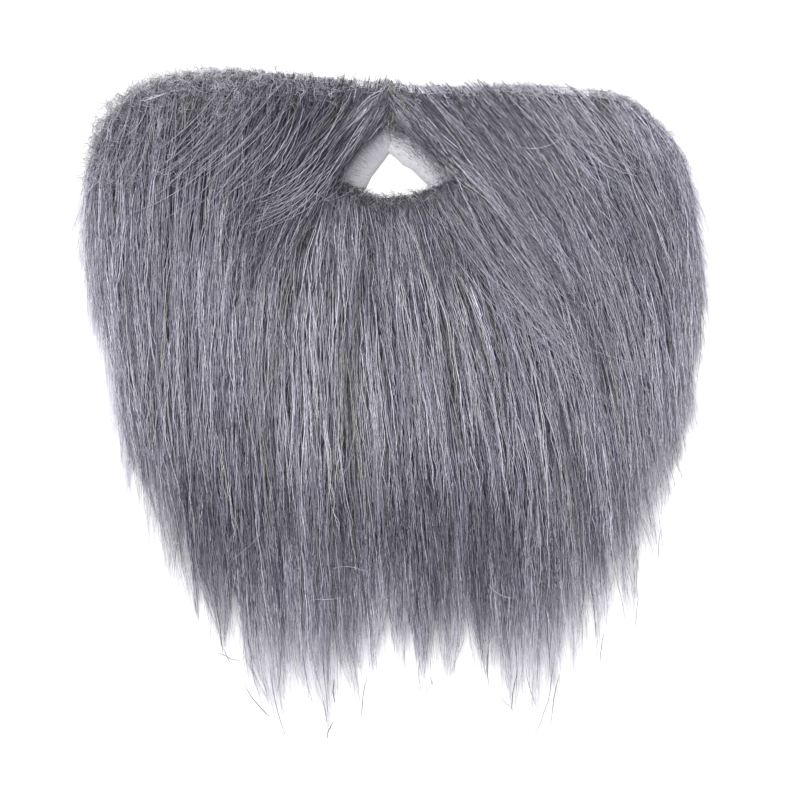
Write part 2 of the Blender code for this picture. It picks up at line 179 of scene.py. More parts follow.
# Matted hair at the left corner, and stretches of the top edge: the group whose flow their hair follows,
# from which x to which, and how many wisps.
MATTED_ZONE = [
    (-138.0, 84.0), (-134.0, 122.0), (-116.0, 136.0), (-90.0, 142.0), (-52.0, 143.0), (-14.0, 138.5),
    (-18.0, 128.0), (-62.0, 118.0), (-92.0, 92.0),
]
TOP_BANDS = [("pile", -150, -68, 190), ("left", -68, 0, 200), ("right", 0, 80, 220), ("pile", 80, 150, 150)]
# The turned cloth beside the opening: its inner edge's x and y, and its outer edge's. It hangs over the cut.
HEM_OVERHANG = 0.7
# How far the cloth is cut back behind the opening's edge.
HEM_BACK = 1.0
HEM_LEFT = [
    (-11.2, 88.6, -25.0, 90.0), (-8.3, 94.4, -23.0, 99.5), (-5.6, 97.9, -18.5, 106.0),
    (-2.9, 101.5, -12.5, 112.5), (0.0, 105.4, -5.5, 118.0), (1.0, 106.6, 0.5, 119.5),
]
HEM_RIGHT = [
    (-0.4, 106.0, -2.5, 118.5), (3.4, 103.4, 10.5, 115.0), (7.0, 99.9, 18.5, 109.0),
    (10.8, 97.9, 25.0, 103.5), (14.4, 94.4, 31.5, 97.5), (18.4, 90.4, 31.5, 90.5), (17.5, 88.4, 27.0, 87.0),
]
# Where the hair of the upper lip is rooted, each side of the parting.
LIP_LEFT = [
    (4.0, 138.4), (-1.0, 116.0), (-21.4, 93.4), (-31.7, 88.0), (-48.8, 99.2), (-66.0, 118.0),
    (-71.0, 142.2),
]
LIP_RIGHT = [
    (-3.0, 138.4), (1.8, 116.0), (27.6, 94.4), (36.7, 88.0), (59.2, 101.0), (79.0, 118.0), (82.0, 136.2),
]

# How a hair lies: which group, where it is rooted, and how far it leans toward +X from straight down
# at its root, its middle and its tip.
FLOW_COLUMNS = ("x", "y", "lean_root", "lean_middle", "lean_tip")
FLOW = {
    "left": [
        (-3.6, 135.5, -8, -40, -30), (-5.4, 119.0, -30, -42, -26), (-19.6, 136.3, -12, -34, -24),
        (-19.6, 105.8, -38, -38, -18), (-30.0, 94.0, -32, -26, -8), (-35.3, 137.2, -6, -24, -18),
        (-33.1, 114.8, -18, -31, -14), (-53.3, 139.5, -4, -6, -4), (-50.0, 106.0, -10, -12, -3),
        (-62.3, 119.2, -4, -6, -3), (-66.0, 138.0, -6, -4, -2),
    ],
    "right": [
        (2.5, 135.5, 18, 44, 36), (5.2, 117.0, 38, 44, 36), (18.7, 135.0, 36, 40, 34),
        (20.9, 105.8, 40, 42, 30), (33.0, 93.0, 38, 34, 20), (41.2, 135.0, 40, 36, 26),
        (41.2, 110.2, 34, 38, 24), (55.0, 104.0, 30, 30, 17), (68.2, 135.0, 48, 30, 18),
        (68.2, 114.8, 33, 24, 15),
    ],
    "pile": [
        (-123.1, 121.5, -16, -4, 2), (-107.3, 132.8, -16, -6, 0), (-84.8, 137.2, -14, -9, -1),
        (-132.1, 92.2, -6, 1, 6), (-107.3, 92.2, -4, 0, 1), (-80.3, 96.8, -10, -4, 0),
        (-36.0, 84.0, -26, -10, 0), (-55.0, 86.0, -24, -13, -1), (-134.0, 62.0, 6, 11, 10),
        (-129.0, 34.0, 11, 11, 8), (-119.0, 4.0, 10, 9, 8), (-104.0, -18.0, 7, 9, 10),
        (-110.0, 38.2, -2, 2, 6), (-93.8, 38.2, 0, 1, 2), (-57.8, 56.2, -6, 1, 1), (-17.3, 81.0, 4, 4, 0),
        (0.7, 83.2, 20, 9, 7), (18.7, 83.2, 30, 14, 10), (32.0, 84.0, 36, 25, 13), (50.0, 70.0, 32, 25, 12),
        (66.0, 54.0, 27, 19, 11), (82.0, 38.0, 20, 14, 9), (-104.0, -6.8, 0, 4, 10),
        (-71.3, -29.2, 0, 3, 9), (-39.8, -6.8, 0, 0, 4), (0.7, 15.8, 7, 5, 3), (41.2, 38.2, 14, 9, 6),
        (36.7, -29.2, 7, 4, 0), (-39.8, -60.8, 4, 3, 0), (5.2, -65.2, 2, 1, 0), (77.2, -51.8, 4, 1, -2),
        (77.2, 24.8, 16, 11, 7), (90.7, 132.8, 44, 36, 26), (113.2, 121.5, 38, 24, 12),
        (95.2, 83.2, 24, 19, 14), (126.7, 92.2, 14, 6, 2), (132.0, 47.2, 5, 1, -1), (125.0, 12.0, 5, 4, 1),
        (113.2, 24.8, 12, 10, 6), (113.2, -20.2, 8, 6, 2),
    ],
}
# Broad patches of shade in the hair: middle, half sizes, how much lighter, and how much warmer. The lighter
# and darker patches are partly painted shade and light, partly the hair's own tone; the warmth is its own
# tone.
SHADE_COLUMNS = ("x", "y", "half_x", "half_y", "lighter", "warmer")
SHADE = [
    (-98, 118, 42, 22, -0.14, 0.08), (-64, 128, 50, 12, 0.13, 0.02), (-44, 108, 36, 32, -0.32, 0.0),
    (-30, 86, 18, 14, -0.18, 0.08), (3, 86, 26, 5, 0.16, 0.0), (-60, 140, 70, 7, 0.12, 0.04),
    (92, 122, 30, 16, 0.10, 0.0), (38, 106, 34, 24, -0.21, 0.0), (36, 68, 14, 16, -0.10, 0.12),
    (110, 40, 26, 60, -0.04, 0.0), (64, 130, 44, 9, 0.20, 0.0), (2, 74, 26, 16, -0.17, 0.12),
    (58, 120, 20, 8, -0.14, 0.15), (102, 127, 9, 8, -0.26, 0.14), (0, 0, 130, 40, 0.06, 0.0),
    (-5, 5, 60, 45, 0.04, 0.0), (0, -76, 125, 22, -0.30, 0.0), (0, -124, 135, 18, 0.14, 0.0),
    (-20, -10, 11, 44, -0.03, 0.14), (78, -45, 9, 26, -0.03, 0.15), (-98, 30, 24, 50, 0.06, -0.04),
    (4, 122, 12, 12, -0.03, 0.12), (-17, 36, 9, 18, -0.15, 0.0), (7, 20, 8, 20, -0.09, 0.0),
    (42, 18, 8, 20, -0.09, 0.0), (28, 16, 12, 24, 0.0, 0.08), (-51, 12, 12, 34, 0.0, 0.08),
    (43, -88, 14, 22, -0.10, 0.0), (30, -50, 8, 16, -0.08, 0.0), (-83, -60, 16, 24, -0.10, 0.0),
    (-30, -36, 16, 22, 0.07, 0.0), (88, 0, 12, 36, -0.06, 0.0),
]

# The hair's colour scale, in three thirds from dark to light: cool, plain and warm.
HAIR_COLOURS = [
    (0.0, 50, 49, 60), (0.16, 131, 129, 146), (0.33, 236, 234, 248),
    (0.335, 50, 49, 55), (0.50, 133, 132, 141), (0.66, 231, 230, 238),
    (0.668, 49, 48, 45), (0.83, 128, 127, 123), (1.0, 217, 216, 212),
]

# The points that the fringe's ends gather into: the x where a hair passes the level below, and the tip's
# x and y.
FRINGE_LEVEL = -100.0
FRINGE = [
    (-111.8, -107.3, -89.0), (-100.6, -97.4, -100.0), (-89.3, -86.6, -112.0), (-79.4, -74.9, -122.0),
    (-56.9, -47.0, -160.0), (-31.7, -26.3, -158.8), (-16.4, -11.9, -149.0), (-4.7, -7.4, -133.0),
    (4.3, 7.0, -132.0), (14.2, 16.0, -135.0), (26.8, 25.9, -140.0), (41.2, 43.9, -137.0),
    (54.7, 56.0, -151.7), (64.6, 65.0, -160.0), (73.6, 74.0, -153.0), (83.9, 83.5, -137.0),
    (96.5, 95.6, -127.0), (107.8, 110.5, -113.0), (118.6, 121.3, -85.0),
]
# Light hairs lying across the others: from where to where, how far apart, how bowed, how many.
CROSSING_COLUMNS = ("x", "y", "end_x", "end_y", "spread", "bend", "count")
CROSSING = [
    (-57.0, 135.0, -103.0, 89.0, 9.0, -0.06, 44),
    (-38.0, 124.0, -73.0, 80.0, 9.0, -0.08, 44),
    (-19.0, 107.0, -62.0, 74.0, 5.0, -0.10, 34),
    (20.0, 93.0, 96.0, 5.0, 5.0, 0.06, 50),
    (41.0, 100.0, 82.0, 40.0, 8.0, 0.05, 50),
    (72.0, 126.0, 112.0, 92.0, 8.0, 0.08, 45),
    (-112.0, 128.0, -128.0, 92.0, 6.0, -0.08, 40),
]
# Hairs on their own: start, end, how bowed, tone and girth.
STRAYS = [
    (-77.6, -120.2, -65.9, -124.7, 0.04, 0.26, 0.20), (-74.9, -118.4, -71.3, -127.4, -0.06, 0.35, 0.19),
    (-65.0, -135.0, -53.3, -149.8, 0.05, 0.22, 0.24), (-53.3, -128.2, -45.9, -160.0, 0.03, 0.38, 0.22),
    (-29.9, -140.0, -27.7, -153.9, -0.02, 0.42, 0.18), (-24.5, -151.7, -27.7, -160.0, 0.08, 0.08, 0.26),
    (-24.5, -132.8, -24.1, -143.6, 0.05, 0.05, 0.27), (-9.7, -131.0, -11.9, -151.7, 0.03, 0.15, 0.23),
    (14.2, -123.8, 15.1, -140.0, 0.05, 0.34, 0.19), (15.1, -140.0, 20.5, -132.8, 0.05, 0.44, 0.16),
    (18.7, -131.0, 20.0, -135.5, 0.0, 0.20, 0.22), (44.8, -119.2, 45.2, -135.5, 0.02, 0.12, 0.26),
    (50.2, -140.8, 55.6, -145.8, 0.0, 0.42, 0.17), (57.8, -131.0, 55.6, -147.2, 0.03, 0.16, 0.25),
    (61.9, -127.4, 66.4, -144.5, 0.03, 0.36, 0.18), (73.6, -123.8, 64.6, -160.0, -0.08, 0.38, 0.21),
    (77.2, -130.1, 73.6, -153.5, 0.03, 0.20, 0.22), (97.0, -112.0, 95.6, -124.7, 0.02, 0.16, 0.22),
    (112.7, -92.2, 110.9, -111.2, -0.02, 0.30, 0.19), (123.1, -65.2, 121.7, -79.7, 0.03, 0.38, 0.18),
    (44.8, -89.5, 55.6, -95.9, 0.10, 0.85, 0.14), (90.7, -92.2, 97.9, -86.9, 0.05, 0.80, 0.12),
    (-34.4, -96.3, -21.8, -95.9, 0.02, 0.80, 0.12), (57.0, 107.0, 77.0, 110.0, 0.12, 0.88, 0.14),
]


def srgb(red, green, blue):
    """A colour given from 0 to 255 as a screen shows it, as the shader's linear values."""
    values = []
    for c in (red, green, blue):
        c = c / 255
        values.append(c / 12.92 if c <= 0.04045 else ((c + 0.055) / 1.055) ** 2.4)
    return (*values, 1.0)


# Shapes that the cloth and the hair share.


def closed_curve(points, per_side):
    """A smooth closed loop through the points."""
    p1 = np.array(points, float)
    p0, p2, p3 = np.roll(p1, 1, 0), np.roll(p1, -1, 0), np.roll(p1, -2, 0)
    t = (np.arange(per_side) / per_side)[None, :, None]
    p0, p1, p2, p3 = (p[:, None] for p in (p0, p1, p2, p3))
    bend = 2 * p0 - 5 * p1 + 4 * p2 - p3
    twist = 3 * p1 - p0 - 3 * p2 + p3
    return (0.5 * (2 * p1 + (p2 - p0) * t + bend * t**2 + twist * t**3)).reshape(-1, 2)


HAIR = closed_curve(HAIR_BORDER, 3)
CLOTH = closed_curve(CLOTH_BORDER, 4)


def depth_inside(loop, x, y):
    """Distance from the loop's border, positive inside it, for arrays of points."""
    x, y = np.broadcast_arrays(np.asarray(x, float), np.asarray(y, float))
    nearest = np.full(x.shape, 1e9)
    inside = np.zeros(x.shape, bool)
    a = np.array(loop, float)
    for (ax, ay), (bx, by) in zip(a, np.roll(a, -1, 0)):
        dx, dy = bx - ax, by - ay
        share = np.clip(((x - ax) * dx + (y - ay) * dy) / (dx * dx + dy * dy), 0, 1)
        nearest = np.minimum(nearest, np.hypot(x - ax - share * dx, y - ay - share * dy))
        if dy:
            inside ^= ((ay > y) != (by > y)) & (x < ax + (y - ay) * dx / dy)
    return np.where(inside, nearest, -nearest)


def eased(t):
    t = np.clip(t, 0.0, 1.0)
    return t * t * (3 - 2 * t)


def strap_y(x):
    return STRAP_Y + STRAP_WAVE * np.sin(x / STRAP_HALF * math.pi * 1.5)


def cloth_lift(x, y):
    """How far the cloth is held up by the strap that lies under it."""
    away = np.maximum(np.abs(y - strap_y(x)) - STRAP_WIDE / 2 - 0.6, 0.0)
    past = np.maximum(np.abs(x) - STRAP_HALF - 0.6, 0.0)
    return (STRAP_THICK + GAP) * (1 - eased(np.hypot(away, past) / STRAP_RAMP))


def pile_top(x, y):
    """Height of the hair above the floor."""
    rise = 1 - np.exp(-np.maximum(depth_inside(HAIR, x, y), 0.0) / PILE_RUN)
    fringe = eased((y - FRINGE_TO) / (FRINGE_FROM - FRINGE_TO))
    mouth = eased(np.maximum(-depth_inside(MOUTH_MARGIN, x, y), 0.0) / 18)
    return PILE_EDGE + PILE_RISE * rise * (0.1 + 0.9 * fringe) * (0.45 + 0.55 * mouth)


def leans_at(group, x, y):
    """Lean at the root, the middle and the tip of each hair rooted at x, y."""
    total = leans = 0.0
    for values in FLOW[group]:
        row = dict(zip(FLOW_COLUMNS, values))
        weight = 1 / ((row["x"] - x) ** 2 + (row["y"] - y) ** 2 + 60) ** 1.5
        total = total + weight
        three = np.array([row["lean_root"], row["lean_middle"], row["lean_tip"]], float)
        leans = leans + weight[:, None] * three
    return leans / total[:, None]


def shade_at(x, y):
    """How much lighter and how much warmer the hair is at each root: partly painted shade and light, partly
    its own tone.
    """
    lighter, warmer = np.zeros_like(x), np.zeros_like(x)
    for values in SHADE:
        row = dict(zip(SHADE_COLUMNS, values))
        reach = np.exp(-(((x - row["x"]) / row["half_x"]) ** 2) - ((y - row["y"]) / row["half_y"]) ** 2)
        lighter += row["lighter"] * reach
        warmer += row["warmer"] * reach
    return lighter, warmer


# Hair, worked out as the middle lines of its strands.


def field(function, step=1.5):
    xs, ys = np.arange(-180.0, 180.1, step), np.arange(-190.0, 175.1, step)
    grid = function(*np.meshgrid(xs, ys))

    def look_up(x, y):
        i = np.clip((x - xs[0]) / step, 0, len(xs) - 1.001)
        j = np.clip((y - ys[0]) / step, 0, len(ys) - 1.001)
        i0, j0 = i.astype(int), j.astype(int)
        i, j = i - i0, j - j0
        lower = grid[j0, i0] * (1 - i) + grid[j0, i0 + 1] * i
        upper = grid[j0 + 1, i0] * (1 - i) + grid[j0 + 1, i0 + 1] * i
        return lower * (1 - j) + upper * j

    return look_up


inside_hair = field(lambda x, y: depth_inside(HAIR, x, y))
in_margin = field(lambda x, y: depth_inside(MOUTH_MARGIN, x, y), 1.0)
hair_top = field(pile_top)


def scattered(count, border, keep_out=(), margin=0.0):
    """Points spread over the inside of the border, clear of the loops to keep out of."""
    low, high = np.min(border, 0), np.max(border, 0)
    found = np.empty((0, 2))
    while len(found) < count:
        tries = low + random.random((count * 2, 2)) * (high - low)
        good = depth_inside(border, *tries.T) > margin
        for loop in keep_out:
            good &= depth_inside(loop, *tries.T) < 0
        found = np.concatenate([found, tries[good]])
    return found[:count]


def tone_column(tone, warmth):
    """Where a strand's colour lies along the colour scale: cool, plain or warm, each from dark to light."""
    third = np.where(warmth > 0.18, 2, np.where(warmth > 0.05, 1, 0))
    return (third + np.clip(tone, 0.03, 0.97)) / 3


def mixed_tones(count, contrast=1.0):
    """Tones of single hairs: most of them middling, some nearly black and some nearly white."""
    pick = random.random(count)
    light = random.normal(0.72, 0.08, count)
    plain = random.normal(0.47, 0.11, count)
    dark = random.normal(0.18, 0.08, count)
    tones = np.where(pick < LIGHT_SHARE, light, np.where(pick < LIGHT_SHARE + DARK_SHARE, dark, plain))
    away = tones - MIDDLE_TONE
    return MIDDLE_TONE + away * np.where(away > 0, contrast, (1 + contrast) / 2)


def wandered(root, leans, sways, length, fine=28):
    """Paths of equal steps from the roots, turning with the lean, as an array of strand, step and x, y."""
    x, y = root.T.copy()
    lines = [np.stack([x, y], 1)]
    at_root, at_middle, at_tip = leans.T
    for i in range(fine):
        s = (i + 0.5) / fine
        lean = at_root * (1 - s) * (1 - 2 * s) + at_middle * 4 * s * (1 - s) + at_tip * s * (2 * s - 1)
        lean = lean + sways[0] * math.sin(5.0 * s + 0.4) + sways[1] * math.cos(9.0 * s)
        x = x + length / fine * np.sin(np.radians(lean))
        y = y - length / fine * np.cos(np.radians(lean))
        lines.append(np.stack([x, y], 1))
    return np.stack(lines, 1)


def read_along(lines, at):
    """Points of the paths at the given shares of their length, one row of shares for each path."""
    fine = lines.shape[1] - 1
    place = np.clip(at * fine, 0, fine - 1e-6)
    low = place.astype(int)
    part = (place - low)[..., None]
    rows = np.arange(len(lines))[:, None]
    return lines[rows, low] * (1 - part) + lines[rows, low + 1] * part


def gathered(lines, pull):
    """The paths with their lower ends drawn into the fringe's points, and how low each may reach."""
    rows = np.array(FRINGE, float)
    middle, tip_x, tip_y = rows.T
    at = np.argmin(np.abs(lines[:, :, 1] - FRINGE_LEVEL), 1)
    level_x = lines[np.arange(len(lines)), at, 0]
    clump = np.argmin(np.abs(level_x[:, None] - middle), 1)
    begin = tip_y[clump][:, None] + GATHER_RUN
    share = eased((begin - lines[..., 1]) / GATHER_RUN)
    share = share * (np.abs(level_x - middle[clump]) < GATHER_REACH)[:, None]
    share = share * np.clip(random.normal(pull, 0.33, len(lines)), 0, 1)[:, None]
    pulled = lines.copy()
    pulled[..., 0] += (tip_x[clump][:, None] - lines[..., 0]) * share
    return pulled, tip_y[clump]


BAND_X = np.arange(-200.0, 200.0, BAND_WIDTH)
BAND_TONE = np.random.default_rng(4).normal(0, BAND_SPREAD, len(BAND_X))


def grown_hair(group, roots, kind, length, lift=0.0, fringe=False, spill=0.0):
    """Strands in wisps round the roots: points, girths and tones by strand, and where along it points lie.

    The spill is how many degrees more they lean outward, which lets them past the hair's border.
    """
    growth = dict(zip(GROWTH_COLUMNS, next(row for row in GROWTH if row[0] == kind)))
    stations = np.array(FINE_STATIONS if growth["fine"] else PLAIN_STATIONS)
    count, hairs = len(roots), growth["hairs"]
    total = count * hairs

    def of_wisp(spread):
        return np.repeat(random.normal(0, spread, count), hairs)

    def of_hair(spread):
        return random.normal(0, spread, total)

    root = np.repeat(roots, hairs, 0)
    away = np.stack([of_hair(growth["spread"]), of_hair(growth["spread"])], 1)
    root = root + away
    leans = leans_at(group, *root.T) + (of_wisp(growth["stray"]) + of_hair(growth["stray"] * 0.45))[:, None]
    leans[:, 2] += of_wisp(growth["stray"] * 1.2) + of_hair(1.0)
    leans += np.sign(root[:, :1]) * spill
    sways = (of_wisp(1.8) + of_hair(1.0), of_wisp(1.6) + of_hair(1.2))
    long = length * np.clip(1 + of_wisp(0.15) + of_hair(0.09), 0.4, 1.45)
    lines = wandered(root, leans, sways, long)
    lines[..., 0] -= away[:, :1] * growth["closing"] * np.linspace(0, 1, lines.shape[1]) ** 1.4

    if fringe:
        lines, lowest = gathered(lines, growth["pull"])
        stop = lowest + random.gamma(growth["fade_shape"], growth["fringe_fade"], total)
        stop = np.maximum(stop, LOWEST)
    else:
        stop = np.full(total, -1e9)
    beyond = random.normal(0.4 + 0.6 * spill, 1.8, total)[:, None]
    past = inside_hair(lines[..., 0], lines[..., 1]) < -beyond
    past &= lines[..., 1] > FRINGE_LEVEL
    past |= lines[..., 1] < stop[:, None]
    past[:, : int(0.3 * past.shape[1])] = False
    first = np.where(past.any(1), past.argmax(1), past.shape[1] - 1)
    reach = first / (past.shape[1] - 1)
    at = stations[None, :] * reach[:, None]
    points = read_along(lines, at)

    along = np.gradient(points, axis=1)
    side = np.stack([along[..., 1], -along[..., 0]], 2)
    side = side / (np.hypot(along[..., 0], along[..., 1])[..., None] + 1e-6)
    crimp = random.normal(0, 1, (count, len(stations))).repeat(hairs, 0) * 0.5
    crimp = (crimp + random.normal(0, 0.75, (total, len(stations)))) * growth["crimp"]
    crimp[:, 0] = 0
    points = points + side * crimp[..., None]

    gone = at * long[:, None]
    foot = CLOTH_THICK + cloth_lift(root[:, 0], root[:, 1])
    level = random.uniform(growth["low"], growth["high"], count).repeat(hairs) + of_hair(0.04)
    top = hair_top(points[..., 0], points[..., 1]) + lift * eased(gone / 18.0)
    climb = 0.72 * (1 - np.exp(-gone / 5.5)) + 0.28 * at
    height = foot[:, None] + np.maximum(top * level[:, None] - foot[:, None], 0.3) * climb
    height = height + random.normal(0, 0.10, height.shape) * (stations > 0)
    thick = growth["girth"] * np.clip(1 + of_hair(0.18), 0.6, 1.5)
    s = stations[None, :]
    girths = thick[:, None] * (1 - (1 - growth["tip"]) * np.clip(2 * s - 1, 0, 1) ** 1.3)
    height = np.maximum(height, girths + 0.12)

    shown = read_along(lines, 0.7 * reach[:, None])[:, 0]
    lighter, warmer = shade_at(*shown.T)
    band = np.interp(shown[:, 0] - 0.08 * shown[:, 1], BAND_X, BAND_TONE)
    tone = mixed_tones(total, growth["contrast"]) + of_wisp(0.09) + band + lighter + growth["lighter"]
    tone = np.where(tone > PALE_FROM, PALE_FROM + (tone - PALE_FROM) * PALE_SHARE, tone)
    warmth = of_wisp(0.09) - 0.01 + warmer
    points = np.concatenate([points, height[..., None]], 2)
    kept = ~(in_margin(points[..., 0], points[..., 1]) > MARGIN_REACH).any(1)
    return points[kept], girths[kept], tone_column(tone, warmth)[kept], stations


def curled_fuzz(roots, outward, flow, length, tone, girth=0.14, turning=0.8, high=0.85):
    """Short crimped hairs that start outward and curl over into the flow of the hair."""
    count = len(roots)
    stations = np.array(FUZZ_STATIONS)
    long = length * np.clip(random.normal(1, 0.35, count), 0.3, 2.0)
    start = outward + random.normal(0, 0.75, count)
    turn = (flow - start + math.pi) % (2 * math.pi) - math.pi
    turn = turn * np.clip(random.normal(0, 0.3, count) + turning, 0.0, 1.3)
    x, y = roots.T.copy()
    lines = [np.stack([x, y], 1)]
    for a, b in zip(stations, stations[1:]):
        heading = start + turn * min(1.0, 1.7 * (a + b) / 2) + random.normal(0, 0.95, count)
        x = x + long * (b - a) * np.cos(heading)
        y = y + long * (b - a) * np.sin(heading)
        lines.append(np.stack([x, y], 1))
    lines = np.stack(lines, 1)
    foot = CLOTH_THICK + cloth_lift(roots[:, 0], roots[:, 1])
    reach = np.clip(random.normal(high, 0.3, count), 0.2, 1.5)
    top = np.maximum(hair_top(lines[..., 0], lines[..., 1]), 3.0)
    climb = 1 - np.exp(-long[:, None] * stations / 3.0)
    z = foot[:, None] + (top * reach[:, None] - foot[:, None]) * climb
    girths = np.full((count, 1), girth) * (1 - 0.6 * stations**2)[None, :]
    points = np.concatenate([lines, np.maximum(z, 0.3)[..., None]], 2)
    lighter, warmer = shade_at(*roots.T)
    tones = tone_column(mixed_tones(count) + tone + lighter, random.normal(0.03, 0.08, count) + warmer)
    return points, girths, tones, stations


def cloth_edge():
    """Close points along the cloth's border, the way to the next of each, and the step's length."""
    edge = closed_curve(CLOTH_BORDER, 40)
    way = np.roll(edge, -1, 0) - edge
    return edge, way, np.hypot(*way.T)


def edge_fuzz():
    """Fuzz along the cloth's top and corners, matted at the left, and round the parting and the opening."""
    edge, way, span = cloth_edge()
    outward = np.arctan2(way[:, 0], -way[:, 1])
    corner = eased((-48 - edge[:, 0]) / 36) + 0.55 * eased((edge[:, 0] - 100) / 16)
    tuft = np.interp(edge[:, 0], np.arange(-150, 151, 6.0), random.uniform(0.35, 1.65, 51))
    weight = span * eased((edge[:, 1] - 78) / 24) * (0.45 + corner) * tuft
    pick = random.choice(len(edge), EDGE_FUZZ, p=weight / weight.sum())
    inset = random.gamma(1.2, 1.0, EDGE_FUZZ) * (3.0 + 4.0 * corner[pick]) - 0.4
    normal = np.stack([np.cos(outward), np.sin(outward)], 1)
    roots = edge[pick] - normal[pick] * inset[:, None]
    group = np.where(np.abs(roots[:, 0]) > 70, 0, np.where(roots[:, 0] < 0, 1, 2))
    leans = np.stack([leans_at(name, *roots.T)[:, 1] for name in ("pile", "left", "right")])
    lean = leans[group, np.arange(len(roots))]
    flow = np.radians(lean - 90)
    tone = 0.14 + 0.22 * np.exp(-np.maximum(inset, 0) / 4)
    left = eased((-48 - roots[:, 0]) / 36)
    turning = 0.95 - 0.30 * left
    top = curled_fuzz(roots, outward[pick], flow, 4.8 + 2.6 * left, tone, girth=0.11, turning=turning)

    roots = scattered(MATTED_FUZZ, MATTED_ZONE)
    heading = random.uniform(0, 2 * math.pi, MATTED_FUZZ)
    flow = heading + random.normal(0, 1.2, MATTED_FUZZ)
    matted = curled_fuzz(roots, heading, flow, length=7.0, tone=0.10, girth=0.13, high=1.04)

    line = np.array(LOWER_LIP, float)
    share = random.random(LIP_FUZZ) * (len(line) - 1.001)
    low = share.astype(int)
    roots = line[low] * (1 - (share - low))[:, None] + line[low + 1] * (share - low)[:, None]
    roots[:, 1] -= random.gamma(1.2, 1.7, LIP_FUZZ) + 0.4
    up, down = np.full(LIP_FUZZ, math.pi / 2), np.full(LIP_FUZZ, -math.pi / 2)
    lip = curled_fuzz(roots, up, down, length=5.0, tone=0.02, girth=0.13)

    roots = np.array(PARTING_FOOT, float) + random.normal(0, 1, (PARTING_FUZZ, 2)) * (5.0, 9.0)
    roots[:, 1] = np.minimum(roots[:, 1], PARTING_TOP)
    roots = roots[depth_inside(MOUTH_MARGIN, *roots.T) < 0.3]
    away = np.radians(-90 + np.clip(roots[:, 0] * 7, -42, 42))
    parting = curled_fuzz(roots, away, away, length=6.5, tone=0.0)
    return [top, matted, lip, parting]


def edge_roots(count, inset, wanted):
    """Roots within the inset from the wanted part of the cloth's border."""
    edge, way, span = cloth_edge()
    weight = span * wanted(*edge.T)
    pick = random.choice(len(edge), count, p=weight / weight.sum())
    normal = np.stack([-way[:, 1], way[:, 0]], 1) / span[:, None]
    return edge[pick] - normal[pick] * random.uniform(0.4, inset, (count, 1))


def pile_hair():
    """The hair of cheeks and chin, row by row of its table."""
    chin = np.array([(x, min(y, CHIN_TOP)) for x, y in closed_curve(CLOTH_BORDER, 3)])
    zones = {"all": CLOTH, "chin": chin}
    batches = []
    for values in PILE:
        row = dict(zip(PILE_COLUMNS, values))
        if row["zone"] == "edge":
            roots = edge_roots(row["wisps"], row["inset"], lambda x, y: y < row["below"])
        else:
            away = [MOUTH_MARGIN, LIP_LEFT, LIP_RIGHT]
            roots = scattered(row["wisps"], zones[row["zone"]], away, row["inset"])
        batches.append(grown_hair("pile", roots, row["kind"], row["length"], fringe=True, spill=row["spill"]))
    return batches


def lip_hair(side, zone):
    """The hair of the upper lip on one side of the parting."""
    return [
        grown_hair(side, scattered(count, zone), kind, LIP_LONG[side], LIP_LIFT) for kind, count in LIP_WISPS
    ]


def short_hair():
    """Short hair near the roots: along the top edge, under the opening and over the parting."""
    batches = []
    for group, low, high, count in TOP_BANDS:
        roots = edge_roots(count, 11.0, lambda x, y: (y > 96) & (x > low) & (x < high))
        batches.append(grown_hair(group, roots, "short", SHORT_LONG))
    line = closed_curve(LOWER_LIP, 12)[: 12 * (len(LOWER_LIP) - 1)]
    count = LOWER_LIP_WISPS
    middle = line[random.integers(0, len(line), count)]
    below = np.stack([random.normal(0, 1, count), random.uniform(0.3, 15, count)], 1)
    batches.append(grown_hair("pile", middle - below, "short", SHORT_LONG))
    for group, zone in (("left", PARTING_LEFT), ("right", PARTING_RIGHT)):
        batches.append(grown_hair(group, scattered(PARTING_WISPS, zone), "short", PARTING_LONG))
    return batches


def laid_hair(start, end, bend, tone, girth, stations, height, crimp=0.12, fade=0.35):
    """Single hairs from start to end, bowed by the bend, at a height above the rest."""
    count = len(start)
    s = stations[None, :, None]
    lines = start[:, None, :] * (1 - s) + end[:, None, :] * s
    span = end - start
    side = np.stack([span[:, 1], -span[:, 0]], 1)
    lines = lines + side[:, None, :] * (bend[:, None, None] * 4 * s * (1 - s))
    lines = lines + random.normal(0, crimp, lines.shape)
    z = np.maximum(hair_top(lines[..., 0], lines[..., 1]) * height[:, None], 0.5)
    girths = girth[:, None] * (1 - (1 - fade) * np.abs(2 * stations - 1) ** 3)[None, :]
    points = np.concatenate([lines, z[..., None]], 2)
    return points, girths, tone_column(tone, random.normal(0.02, 0.05, count)), stations


def crossing_hair():
    """Light hairs that cross the others in the places named in the table."""
    batches = []
    for values in CROSSING:
        row = dict(zip(CROSSING_COLUMNS, values))
        count = row["count"]
        offset = random.normal(0, row["spread"], (count, 2))
        start = np.array([row["x"], row["y"]]) + offset
        parted = random.normal(0, row["spread"] * 0.45, (count, 2))
        end = np.array([row["end_x"], row["end_y"]]) + offset * 0.8 + parted
        share = np.clip(random.normal(0.72, 0.2, count), 0.3, 1.1)[:, None]
        begin = random.random((count, 1)) * (1 - np.minimum(share, 1))
        start, end = start + (end - start) * begin, start + (end - start) * (begin + share)
        bend = random.normal(row["bend"], 0.05, count)
        tone = mixed_tones(count) * 0.5 + 0.34
        girth = np.full(count, 0.13)
        height = random.uniform(0.96, 1.10, count)
        batches.append(laid_hair(start, end, bend, tone, girth, np.array(FINE_STATIONS), height))
    return batches


